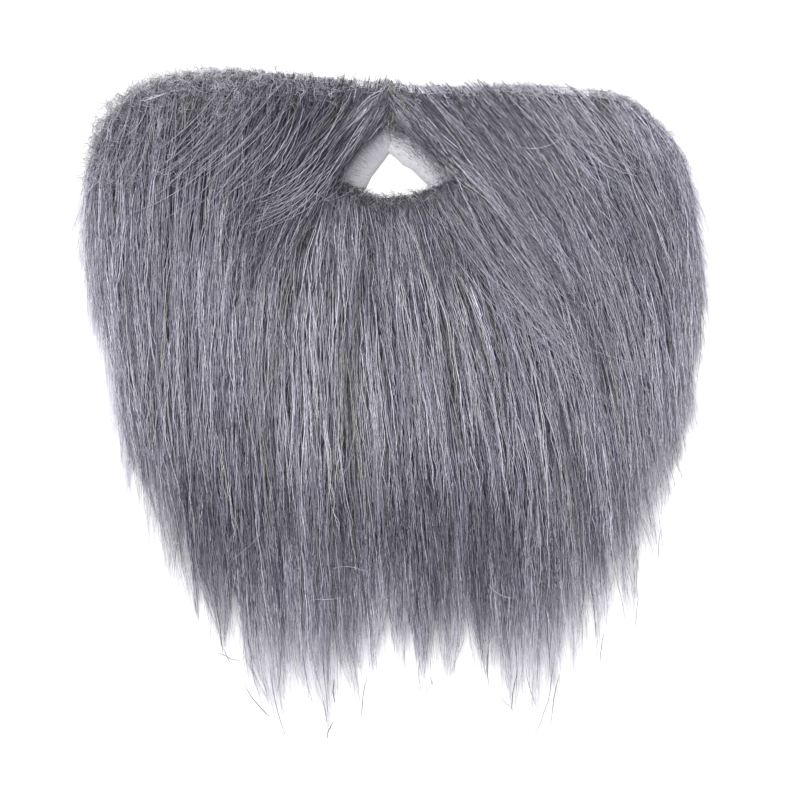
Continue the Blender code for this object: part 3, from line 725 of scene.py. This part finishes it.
def stray_hair():
    """Hairs on their own, named one by one, with a few short light ones anywhere."""
    rows = np.array(STRAYS, float)
    start, end = rows[:, 0:2], rows[:, 2:4]
    stations = np.linspace(0, 1, 9)
    bend, tone, girth = rows[:, 4:].T
    named = laid_hair(start, end, bend, tone, girth, stations, np.full(len(rows), 1.05), 0.10)
    count = STRAY_FEW
    start = scattered(count, HAIR, [MOUTH_MARGIN], 14.0)
    heading = np.radians(random.normal(-90, 40, count))
    long = random.uniform(8, 26, count)
    end = start + np.stack([np.cos(heading), np.sin(heading)], 1) * long[:, None]
    few = laid_hair(
        start, end, random.normal(0, 0.14, count), random.normal(0.64, 0.08, count), np.full(count, 0.09),
        stations, random.uniform(1.0, 1.08, count),
    )
    return [named, few]


# Node trees that turn lines into hair and thread.


def new_tree(name, inputs):
    """An empty tree with a mesh in, a mesh out and the named inputs."""
    tree = bpy.data.node_groups.new(name, "GeometryNodeTree")
    tree.interface.new_socket("Geometry", in_out="INPUT", socket_type="NodeSocketGeometry")
    for label, kind, value in inputs:
        socket = tree.interface.new_socket(label, in_out="INPUT", socket_type="NodeSocket" + kind)
        if value is not None:
            socket.default_value = value
    tree.interface.new_socket("Geometry", in_out="OUTPUT", socket_type="NodeSocketGeometry")
    return tree, tree.nodes.new("NodeGroupInput"), tree.nodes.new("NodeGroupOutput")


def add(tree, kind, values=None, **settings):
    """A node with its settings, and the values or links of its inputs by name or place."""
    node = tree.nodes.new(kind)
    for key, value in settings.items():
        setattr(node, key, value)
    for key, value in (values or {}).items():
        if isinstance(value, bpy.types.NodeSocket):
            tree.links.new(value, node.inputs[key])
        else:
            node.inputs[key].default_value = value
    return node


def worked_out(tree, operation, *values):
    """The result of one step of sums on values or links."""
    return add(tree, "ShaderNodeMath", dict(enumerate(values)), operation=operation).outputs[0]


def attribute(tree, name):
    return add(tree, "GeometryNodeInputNamedAttribute", {"Name": name}).outputs[0]


def strand_tree():
    """Thin closed tubes along the lines, each with its own narrow column of the colour scale."""
    inputs = [("Sides", "Int", 3), ("Column width", "Float", 0.7 / TONES), ("Material", "Material", None)]
    tree, start, end = new_tree("strands_from_lines", inputs)
    sides = start.outputs["Sides"]
    lines = add(tree, "GeometryNodeMeshToCurve", {"Mesh": start.outputs["Geometry"]})
    ring = add(tree, "GeometryNodeCurvePrimitiveCircle", {"Resolution": sides, "Radius": MM})
    index = add(tree, "GeometryNodeInputIndex").outputs[0]
    share = worked_out(tree, "DIVIDE", index, worked_out(tree, "SUBTRACT", sides, 1.0))
    ring = add(
        tree, "GeometryNodeStoreNamedAttribute",
        {"Geometry": ring.outputs["Curve"], "Name": "around", "Value": share},
    )
    girth = attribute(tree, "girth")
    tubes = add(
        tree, "GeometryNodeCurveToMesh",
        {"Curve": lines.outputs[0], "Profile Curve": ring.outputs[0], "Scale": girth, "Fill Caps": True},
    )
    centred = worked_out(tree, "SUBTRACT", attribute(tree, "around"), 0.5)
    u = worked_out(tree, "MULTIPLY_ADD", centred, start.outputs["Column width"], attribute(tree, "tone"))
    off = worked_out(tree, "ABSOLUTE", centred)
    v = worked_out(tree, "MULTIPLY_ADD", off, 0.012, attribute(tree, "along"))
    place = add(tree, "ShaderNodeCombineXYZ", {"X": u, "Y": v})
    mapped = add(
        tree, "GeometryNodeStoreNamedAttribute",
        {"Geometry": tubes.outputs[0], "Name": "UVMap", "Value": place.outputs[0]},
        data_type="FLOAT2", domain="CORNER",
    )
    smooth = add(tree, "GeometryNodeSetShadeSmooth", {"Geometry": mapped.outputs[0]})
    real = add(tree, "GeometryNodeRealizeInstances", {"Geometry": smooth.outputs[0]})
    material = start.outputs["Material"]
    painted = add(tree, "GeometryNodeSetMaterial", {"Geometry": real.outputs[0], "Material": material})
    tree.links.new(painted.outputs[0], end.inputs[0])
    return tree


def through_tree(obj, tree, values):
    """The object's mesh as the tree makes it, plain and with no modifier left."""
    step = obj.modifiers.new("shape", "NODES")
    step.node_group = tree
    for item in tree.interface.items_tree:
        if item.in_out == "INPUT" and item.name in values:
            step[item.identifier] = values[item.name]
    graph = bpy.context.evaluated_depsgraph_get()
    mesh = bpy.data.meshes.new_from_object(obj.evaluated_get(graph))
    obj.modifiers.clear()
    old = obj.data
    obj.data = mesh
    bpy.data.meshes.remove(old)
    mesh.name = obj.name
    return obj


def new_object(name, mesh):
    obj = bpy.data.objects.new(name, mesh)
    bpy.context.scene.collection.objects.link(obj)
    return obj


def line_object(name, batches):
    """One mesh of open lines from batches of points, girths and tones, kept as attributes."""
    places, girths, tones, alongs, edges = [], [], [], [], []
    first = 0
    for points, girth, tone, stations in batches:
        count, steps = points.shape[:2]
        places.append(points.reshape(-1, 3) * MM)
        girths.append(girth.reshape(-1))
        tones.append(np.repeat(tone, steps))
        alongs.append(np.tile(0.02 + 0.95 * np.asarray(stations), count))
        index = first + np.arange(count * steps).reshape(count, steps)
        edges.append(np.stack([index[:, :-1], index[:, 1:]], 2).reshape(-1, 2))
        first += count * steps
    mesh = bpy.data.meshes.new(name)
    places, edges = np.concatenate(places), np.concatenate(edges)
    mesh.vertices.add(len(places))
    mesh.edges.add(len(edges))
    mesh.vertices.foreach_set("co", places.astype(np.float32).ravel())
    mesh.edges.foreach_set("vertices", edges.astype(np.int32).ravel())
    for label, values in (("girth", girths), ("tone", tones), ("along", alongs)):
        layer = mesh.attributes.new(label, "FLOAT", "POINT")
        layer.data.foreach_set("value", np.concatenate(values).astype(np.float32))
    mesh.update()
    return new_object(name, mesh)


def hair_piece(name, batches, material):
    obj = through_tree(line_object(name, batches), STRANDS, {"Material": material})
    for label in ("girth", "tone", "along", "around"):
        layer = obj.data.attributes.get(label)
        if layer is not None:
            obj.data.attributes.remove(layer)
    return obj


# Finishes.


def new_material(name):
    material = bpy.data.materials.new(name)
    material.use_nodes = True
    tree = material.node_tree
    return material, tree, tree.nodes["Principled BSDF"]


def noise(tree, place, scale, detail):
    return add(tree, "ShaderNodeTexNoise", {"Vector": place, "Scale": scale, "Detail": detail}).outputs[0]


def drawn_out(tree, place, scale):
    """The place stretched or pressed together along its axes."""
    return add(tree, "ShaderNodeMapping", {"Vector": place, "Scale": scale}).outputs[0]


def ranged(tree, *values):
    """A value brought from one range, low and high, into another."""
    return add(tree, "ShaderNodeMapRange", dict(enumerate(values))).outputs[0]


def tinted(tree, shader, value, *ends):
    """Colours the shader by the value, between two ends, each a position and a colour."""
    tint = add(tree, "ShaderNodeValToRGB", {0: value})
    for element, (position, colour) in zip(tint.color_ramp.elements, ends):
        element.position, element.color = position, colour
    tree.links.new(tint.outputs[0], shader.inputs["Base Color"])


def embossed(tree, shader, height, strength, distance):
    relief = add(tree, "ShaderNodeBump", {"Height": height, "Strength": strength, "Distance": distance})
    tree.links.new(relief.outputs[0], shader.inputs["Normal"])


def hair_finish():
    """Synthetic hair: a strand's colour comes from its column, with painted shade darker at the root and
    painted light from its crimps streaked along it.
    """
    material, tree, shader = new_material("synthetic_hair")
    place = add(tree, "ShaderNodeUVMap", uv_map="UVMap").outputs[0]
    split = add(tree, "ShaderNodeSeparateXYZ", {0: place})
    scale = add(tree, "ShaderNodeValToRGB", {0: split.outputs["X"]})
    stops = [(position, srgb(*colour)) for position, *colour in HAIR_COLOURS]
    ramp = scale.color_ramp.elements
    ramp[0].position, ramp[0].color = stops[0]
    ramp[1].position, ramp[1].color = stops[-1]
    for position, colour in stops[1:-1]:
        ramp.new(position).color = colour
    streak = noise(tree, drawn_out(tree, place, (260.0, 8.0, 1.0)), 1.0, 1.0)
    kink = noise(tree, drawn_out(tree, place, (260.0, 44.0, 7.0)), 1.0, 1.0)
    # Painted light: pale streaks and fine glints along the strand stand for light caught by its crimps.
    painted_crimp_light = ranged(tree, streak, 0.32, 0.68, 0.70, 1.30)
    painted_crimp_glint = ranged(tree, kink, 0.32, 0.68, 0.66, 1.34)
    # Painted shade: the strand is darker toward its root, deep in the pile.
    root = ranged(tree, split.outputs["Y"], 0.0, 0.45, 0.78, 1.0)
    painted_light_and_shade = worked_out(tree, "MULTIPLY", worked_out(tree, "MULTIPLY", painted_crimp_light, painted_crimp_glint), root)
    colour = add(tree, "ShaderNodeVectorMath", {0: scale.outputs[0], "Scale": painted_light_and_shade}, operation="SCALE")
    tree.links.new(colour.outputs[0], shader.inputs["Base Color"])
    tree.links.new(ranged(tree, streak, 0.3, 0.7, 0.36, 0.52), shader.inputs["Roughness"])
    shader.inputs["Specular IOR Level"].default_value = 0.38
    embossed(tree, shader, kink, 0.5, 0.0002)
    return material


def underfur_painted_shade_finish():
    """The crimped wool under the long hair, in streaks that follow the flow, painted dark as the shade deep
    between the strands.
    """
    material, tree, shader = new_material("underfur")
    place = add(tree, "ShaderNodeAttribute", attribute_name="flow_place").outputs["Vector"]
    curl = add(tree, "ShaderNodeTexNoise", {"Vector": place, "Scale": 0.45, "Detail": 1.0}).outputs["Color"]
    off = add(tree, "ShaderNodeVectorMath", {0: curl, 1: (0.5, 0.5, 0.5)}, operation="SUBTRACT").outputs[0]
    bent = add(tree, "ShaderNodeVectorMath", {0: off, 1: (2.2, 0.0, 0.0), 2: place}, operation="MULTIPLY_ADD")
    streak = noise(tree, drawn_out(tree, bent.outputs[0], (1.7, 0.22, 1.0)), 1.0, 3.0)
    # The dark end of the tint is painted shade that shows in the gaps between strands.
    tinted(tree, shader, streak, (0.38, srgb(26, 25, 30)), (0.66, srgb(122, 120, 130)))
    shader.inputs["Roughness"].default_value = 0.8
    embossed(tree, shader, streak, 0.9, 0.0012)
    return material


def knit_finish(name, dark, light, rows):
    """Fine knitted cloth: rows of small loops with a soft nap."""
    material, tree, shader = new_material(name)
    place = add(tree, "ShaderNodeTexCoord").outputs["Object"]
    loops = add(
        tree, "ShaderNodeTexWave",
        {"Vector": place, "Scale": rows, "Distortion": 1.2, "Detail": 2.0, "Detail Scale": 2.0},
        bands_direction="X",
    )
    courses = add(
        tree, "ShaderNodeTexWave", {"Vector": place, "Scale": rows * 0.8, "Distortion": 0.8},
        bands_direction="Y",
    )
    weave = worked_out(tree, "MULTIPLY", loops.outputs["Fac"], courses.outputs["Fac"])
    mixed = worked_out(tree, "MULTIPLY_ADD", noise(tree, place, 900.0, 5.0), 0.6, weave)
    tinted(tree, shader, mixed, (0.15, dark), (0.85, light))
    shader.inputs["Roughness"].default_value = 0.88
    shader.inputs["Sheen Weight"].default_value = 0.25
    embossed(tree, shader, mixed, 0.5, 0.0004)
    return material


def hem_finish(name, dark, light, stretch, lines):
    """Turned cloth beside the opening, with fine threads across it, and painted shade that deepens toward the
    hair.
    """
    material, tree, shader = new_material(name)
    place = add(tree, "ShaderNodeAttribute", attribute_name="hem_place").outputs["Vector"]
    threads = noise(tree, drawn_out(tree, place, stretch), 1.0, 3.0)
    mixed = worked_out(tree, "MULTIPLY_ADD", threads, lines, noise(tree, place, 2.6, 4.0))
    across = add(tree, "ShaderNodeSeparateXYZ", {0: place}).outputs["Y"]
    # Painted shade and light: lighter at the opening's edge, darker toward the hair that shades the band.
    shaded = worked_out(tree, "ADD", mixed, ranged(tree, across, 0.0, 9.5, 0.16, -0.36))
    middle = 0.5 * (1 + lines)
    tinted(tree, shader, shaded, (max(middle - 0.42, 0.0), dark), (min(middle + 0.25, 1.0), light))
    shader.inputs["Roughness"].default_value = 0.9
    shader.inputs["Sheen Weight"].default_value = 0.2
    embossed(tree, shader, mixed, 0.6, 0.0004)
    return material


def thread_finish():
    """White sewing thread with its twist."""
    material, tree, shader = new_material("sewing_thread")
    twist = noise(tree, add(tree, "ShaderNodeTexCoord").outputs["Object"], 2200.0, 2.0)
    tinted(tree, shader, twist, (0.3, srgb(196, 197, 210)), (0.7, srgb(240, 241, 252)))
    shader.inputs["Roughness"].default_value = 0.6
    return material


# Cloth, elastic and stitches.


def slab(name, border, holes, step, low, top):
    """A closed sheet between two height functions, with the holes cut right through."""
    loops = [np.array(border)] + [np.array(hole) for hole in holes]
    points = np.concatenate(loops)
    edges = []
    first = 0
    for loop in loops:
        edges += [(first + i, first + (i + 1) % len(loop)) for i in range(len(loop))]
        first += len(loop)
    xs, ys = np.meshgrid(np.arange(-150, 150, step), np.arange(-160, 150, step * 0.87))
    xs = xs + (np.arange(len(xs)) % 2)[:, None] * step / 2
    inner = np.stack([xs.ravel(), ys.ravel()], 1)
    good = depth_inside(border, *inner.T) > step * 0.45
    for hole in holes:
        good &= depth_inside(hole, *inner.T) < -step * 0.45
    points = np.concatenate([points, inner[good]])
    flat, _, faces, _, _, _ = delaunay_2d_cdt([Vector(p) for p in points], edges, [], 0, 1e-7)
    flat = np.array([tuple(p) for p in flat])
    faces = np.array([tuple(f) for f in faces])
    middle = flat[faces].mean(1)
    good = depth_inside(border, *middle.T) > 0
    for hole in holes:
        good &= depth_inside(hole, *middle.T) < 0
    faces = faces[good]
    count = len(flat)
    upper = np.column_stack([flat, top(*flat.T)])
    lower = np.column_stack([flat, low(*flat.T)])
    sides = {(int(f[i]), int(f[(i + 1) % 3])) for f in faces for i in range(3)}
    walls = [(count + a, count + b, b, a) for a, b in sorted(sides) if (b, a) not in sides]
    mesh = bpy.data.meshes.new(name)
    shell = faces.tolist() + (count + faces[:, ::-1]).tolist() + walls
    mesh.from_pydata((np.concatenate([upper, lower]) * MM).tolist(), [], shell)
    mesh.validate()
    return new_object(name, mesh)


def smooth_shaded(obj):
    obj.data.polygons.foreach_set("use_smooth", np.ones(len(obj.data.polygons), bool))
    return obj


def shifted(loop, amount):
    """The loop moved outward along its normals. It runs clockwise."""
    way = np.roll(loop, -1, 0) - np.roll(loop, 1, 0)
    normal = np.stack([-way[:, 1], way[:, 0]], 1) / np.hypot(*way.T)[:, None]
    return loop + normal * amount


def make_cloth(material):
    def ripple(x, y):
        return 0.10 * np.sin(x * 0.9) * np.sin(y * 0.7)

    obj = slab(
        "backing_knit", CLOTH, [shifted(closed_curve(MOUTH, 5), HEM_BACK)], CLOTH_STEP,
        cloth_lift, lambda x, y: CLOTH_THICK - 0.1 + cloth_lift(x, y) + ripple(x, y),
    )
    obj.data.materials.append(material)
    return obj


def flow_place(x, y):
    """Coordinates across and along the hair, found by following the flow up to the top edge."""
    left, right = depth_inside(LIP_LEFT, x, y) > 0, depth_inside(LIP_RIGHT, x, y) > 0
    u, v = x.copy(), np.zeros_like(y)
    steps = 14
    for _ in range(steps):
        pile = leans_at("pile", u, np.minimum(y + 20, 130))[:, 1]
        lean = np.where(right, leans_at("right", u, y)[:, 1], pile)
        lean = np.where(left, leans_at("left", u, y)[:, 1], lean)
        rise = np.maximum(138.0 - y, 0.0) / steps
        u = u - rise * np.tan(np.radians(lean))
        v = v + rise / np.cos(np.radians(lean))
        y = y + rise
    return u, v


def make_underfur(material):
    def ruffle(x, y):
        return 0.5 * np.sin(x * 1.7 + 2 * np.sin(y * 0.2)) + 0.3 * np.sin(x * 3.1 + y * 0.9)

    border = shifted(CLOTH, -UNDERFUR_INSET)
    obj = slab(
        "underfur", border, [MOUTH_MARGIN], UNDERFUR_STEP,
        lambda x, y: CLOTH_THICK + 0.15 + cloth_lift(x, y),
        lambda x, y: np.maximum(pile_top(x, y) * 0.5 + ruffle(x, y), CLOTH_THICK + 0.5 + cloth_lift(x, y)),
    )
    mesh = obj.data
    points = np.empty(len(mesh.vertices) * 3, np.float32)
    mesh.vertices.foreach_get("co", points)
    x, y, z = (points.reshape(-1, 3).astype(float) / MM).T
    u, v = flow_place(x, y)
    layer = mesh.attributes.new("flow_place", "FLOAT_VECTOR", "POINT")
    layer.data.foreach_set("vector", np.stack([u, v, z * 0.3], 1).astype(np.float32).ravel())
    mesh.materials.append(material)
    return smooth_shaded(obj)


def hem(name, rows, crown, rough, material):
    """A turned band beside the opening, from rows of an inner and an outer point."""
    rows = np.array(rows, float)
    steps, across = 34, 8
    t = np.linspace(0, len(rows) - 1, steps)
    rows = np.stack([np.interp(t, np.arange(len(rows)), column) for column in rows.T], 1)
    inner, outer = rows[:, :2], rows[:, 2:]
    inner = inner + (inner - outer) / np.hypot(*(outer - inner).T)[:, None] * HEM_OVERHANG
    share = np.linspace(0, 1, across)[None, :, None]
    flat = inner[:, None] * (1 - share) + outer[:, None] * share
    width = np.hypot(*(outer - inner).T)[:, None] * share[..., 0]
    along = np.concatenate([[0], np.cumsum(np.hypot(*np.diff(inner, axis=0).T))])[:, None] + 0 * width
    s = share[..., 0]
    top = cloth_lift(*flat.reshape(-1, 2).T).reshape(steps, across) + CLOTH_THICK
    bulge = crown * np.sqrt(np.clip(1 - (1 - np.clip(s * 2.6, 0, 1)) ** 2, 0, 1)) * (1 - 0.5 * s)
    ruck = rough * np.sin(along * 1.9 + 3 * np.sin(width * 0.8)) * np.sin(width * 1.3 + along * 0.4)
    ruck = ruck * (s > 0)
    rise = top * eased(0.10 + s * 4)
    upper = np.dstack([flat, rise + bulge + ruck + 0.12])
    lower = np.dstack([flat, np.minimum(rise, top) + 0.02])
    points = np.concatenate([upper.reshape(-1, 3), lower.reshape(-1, 3)])
    index = np.arange(steps * across).reshape(steps, across)
    under = index + steps * across
    a, b, c, d = index[:-1, :-1], index[1:, :-1], index[1:, 1:], index[:-1, 1:]
    faces = np.stack([a, b, c, d], 2).reshape(-1, 4).tolist()
    a, b, c, d = under[:-1, :-1], under[:-1, 1:], under[1:, 1:], under[1:, :-1]
    faces += np.stack([a, b, c, d], 2).reshape(-1, 4).tolist()
    rim = list(index[0, :]) + list(index[1:, -1]) + list(index[-1, -2::-1]) + list(index[-2:0:-1, 0])
    for p, q in zip(rim, rim[1:] + rim[:1]):
        faces.append([int(p), int(q), int(q + steps * across), int(p + steps * across)])
    mesh = bpy.data.meshes.new(name)
    mesh.from_pydata((points * MM).tolist(), [], faces)
    place = np.tile(np.stack([along, width, 0 * width], 2).reshape(-1, 3), (2, 1))
    layer = mesh.attributes.new("hem_place", "FLOAT_VECTOR", "POINT")
    layer.data.foreach_set("vector", place.astype(np.float32).ravel())
    mesh.materials.append(material)
    return smooth_shaded(facing_out(new_object(name, mesh)))


def facing_out(obj):
    """The object with its faces turned outward, by the sign of its volume."""
    mesh = obj.data
    mesh.calc_loop_triangles()
    corners = np.array([[mesh.vertices[i].co for i in t.vertices] for t in mesh.loop_triangles])
    if np.linalg.det(corners).sum() < 0:
        mesh.flip_normals()
    return obj


def make_strap(material):
    """The elastic under the cloth: a flat band with ribs along it, rounded at its edges."""
    count, ribs = 90, 6
    s = np.linspace(-1, 1, 2 * ribs + 1)
    half = STRAP_WIDE / 2
    upper = np.stack([s * half, STRAP_THICK * (0.90 + 0.10 * np.cos(s * ribs * math.pi))], 1)
    upper[[0, -1], 1] = STRAP_THICK * 0.62
    lower = np.stack([s[::-1] * half, STRAP_THICK * (0.12 - 0.10 * np.cos(s * ribs * math.pi))], 1)
    lower[[0, -1], 1] = STRAP_THICK * 0.38
    ring = np.concatenate([upper, lower])
    x = np.linspace(-STRAP_HALF, STRAP_HALF, count)
    slope = strap_y(x + 0.5) - strap_y(x - 0.5)
    norm = np.hypot(1, slope)
    px = x[:, None] - (slope / norm)[:, None] * ring[:, 0]
    py = strap_y(x)[:, None] + (1 / norm)[:, None] * ring[:, 0]
    points = np.dstack([px, py, np.tile(ring[:, 1], (count, 1))]).reshape(-1, 3)
    n = len(ring)
    faces = [list(range(n)), list(range((count - 1) * n, count * n))[::-1]]
    for i in range(count - 1):
        for k in range(n):
            a, b = i * n + k, i * n + (k + 1) % n
            faces.append([b, a, a + n, b + n])
    mesh = bpy.data.meshes.new("strap_elastic")
    mesh.from_pydata((points * MM).tolist(), [], faces)
    mesh.materials.append(material)
    return facing_out(new_object("strap_elastic", mesh))


def thread_lines():
    """Zigzag sewing at the elastic's ends, and the thread end that lies on the hair at the left corner."""
    batches = []
    n = np.arange(ZIGZAG_POINTS)
    level = np.full(ZIGZAG_POINTS, THREAD_HALF)
    for sign in (-1, 1):
        x = sign * (STRAP_HALF - 1.5 - n * 0.75)
        y = strap_y(x) + np.where(n % 2, 1, -1) * STRAP_WIDE * 0.34
        points = np.stack([x, y, level], 1)[None]
        batches.append((points, level[None], np.array([0.5]), np.linspace(0, 1, ZIGZAG_POINTS)))
    stations = np.linspace(0, 1, 9)
    start = np.array([(-111.0, 127.4), (-110.2, 128.3), (-108.6, 128.0), (-109.6, 127.0)])
    end = np.array([(-100.4, 130.7), (-101.4, 130.2), (-99.8, 131.2), (-103.8, 129.4)])
    bend = np.array([0.03, -0.04, 0.02, -0.06])
    girth = np.array([0.15, 0.11, 0.10, 0.10])
    ends = laid_hair(start, end, bend, np.full(4, 0.9), girth, stations, np.full(4, 1.16), 0.08)
    batches.append((ends[0], ends[1], np.full(4, 0.5), stations))
    return batches


STRANDS = strand_tree()

hair = hair_finish()
under = underfur_painted_shade_finish()
knit = knit_finish("backing_cloth_knit", srgb(168, 167, 173), srgb(226, 225, 230), 260.0)
elastic = knit_finish("elastic_weave", srgb(206, 206, 208), srgb(246, 246, 247), 420.0)
turned = hem_finish("turned_hem", srgb(104, 103, 109), srgb(166, 165, 171), (3.2, 0.22, 1.0), 0.8)
frayed = hem_finish("frayed_hem", srgb(90, 89, 95), srgb(184, 183, 189), (0.5, 1.6, 1.0), 1.0)
thread = thread_finish()

cloth = make_cloth(knit)
fur = make_underfur(under)
strap = make_strap(elastic)
hem_left = hem("mouth_hem_left", HEM_LEFT, 0.8, 0.10, turned)
hem_right = hem("mouth_hem_right", HEM_RIGHT, 0.7, 0.28, frayed)
stitches = hair_piece("strap_stitches", thread_lines(), thread)


def split_up(name, batches, edges, material):
    """Hair pieces side by side, cut at the given x of the strands' roots."""
    pieces = []
    for n, (low, high) in enumerate(zip(edges, edges[1:])):
        parts = []
        for batch in batches:
            x = batch[0][:, 0, 0]
            mask = (x >= low) & (x < high)
            parts.append((batch[0][mask], batch[1][mask], batch[2][mask], batch[3]))
        pieces.append(hair_piece(f"{name}_{n + 1}", parts, material))
    return pieces


pieces = split_up("beard_hair", pile_hair(), PILE_CUTS, hair)
lip_left = hair_piece("moustache_hair_left", lip_hair("left", LIP_LEFT), hair)
lip_right = hair_piece("moustache_hair_right", lip_hair("right", LIP_RIGHT), hair)
short_piece = hair_piece("short_root_hair", short_hair(), hair)
fuzz_piece = hair_piece("edge_fuzz", edge_fuzz(), hair)
crossing_piece = hair_piece("crossing_hair", crossing_hair(), hair)
stray_piece = hair_piece("stray_hairs", stray_hair(), hair)

# What each group of pieces stands for, and its slot.
dressed = [
    ("backing_cloth", "cloth", [cloth, hem_left, hem_right]),
    ("elastic_strap", "elastic", [strap, stitches]),
    ("beard_pile", "hair", [fur, short_piece, fuzz_piece, crossing_piece, stray_piece, *pieces]),
    ("moustache_left", "lip_hair", [lip_left]),
    ("moustache_right", "lip_hair", [lip_right]),
]
for node, slot, group in dressed:
    for piece in group:
        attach(piece, "root")
        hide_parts(node)

# Floor, light and camera, in metres.

FLOOR_HALF = 6.0


def make_floor():
    """A plain pale floor, just below the beard."""
    material, tree, shader = new_material("pale_floor")
    grain = noise(tree, add(tree, "ShaderNodeTexCoord").outputs["Object"], 40.0, 3.0)
    tree.links.new(ranged(tree, grain, 0.0, 1.0, 0.86, 0.90), shader.inputs["Base Color"])
    shader.inputs["Roughness"].default_value = 0.9
    mesh = bpy.data.meshes.new("floor")
    corners = [(FLOOR_HALF * x, FLOOR_HALF * y, 0) for x, y in ((-1, -1), (1, -1), (1, 1), (-1, 1))]
    mesh.from_pydata(corners, [], [(0, 1, 2, 3)])
    floor = new_object("floor", mesh)
    floor.location.z = -0.0004
    mesh.materials.append(material)


def soft_light(name, place, size, power, target=(0, 0, 0)):
    data = bpy.data.lights.new(name, "AREA")
    data.shape = "DISK"
    data.size = size
    data.energy = power
    obj = bpy.data.objects.new(name, data)
    bpy.context.scene.collection.objects.link(obj)
    obj.location = place
    obj.rotation_euler = (Vector(target) - Vector(place)).to_track_quat("-Z", "Y").to_euler()


make_floor()
bpy.context.scene.view_settings.view_transform = "Standard"
world = bpy.data.worlds.new("studio")
bpy.context.scene.world = world
world.use_nodes = True
world.node_tree.nodes["Background"].inputs["Color"].default_value = (1.0, 1.0, 1.0, 1.0)
world.node_tree.nodes["Background"].inputs["Strength"].default_value = 0.85
soft_light("soft_top", (-0.5, 0.6, 1.5), 0.7, 22.0)
soft_light("soft_side", (0.9, -0.5, 1.2), 0.9, 6.0)

camera_data = bpy.data.cameras.new("camera")
camera_data.lens = 135.0
camera_data.sensor_width = 36.0
camera = bpy.data.objects.new("camera", camera_data)
bpy.context.scene.collection.objects.link(camera)
camera.location = (0.0052, -0.00675, 1.356)
camera.rotation_euler = (0.0, 0.0, 0.0)
bpy.context.scene.camera = camera
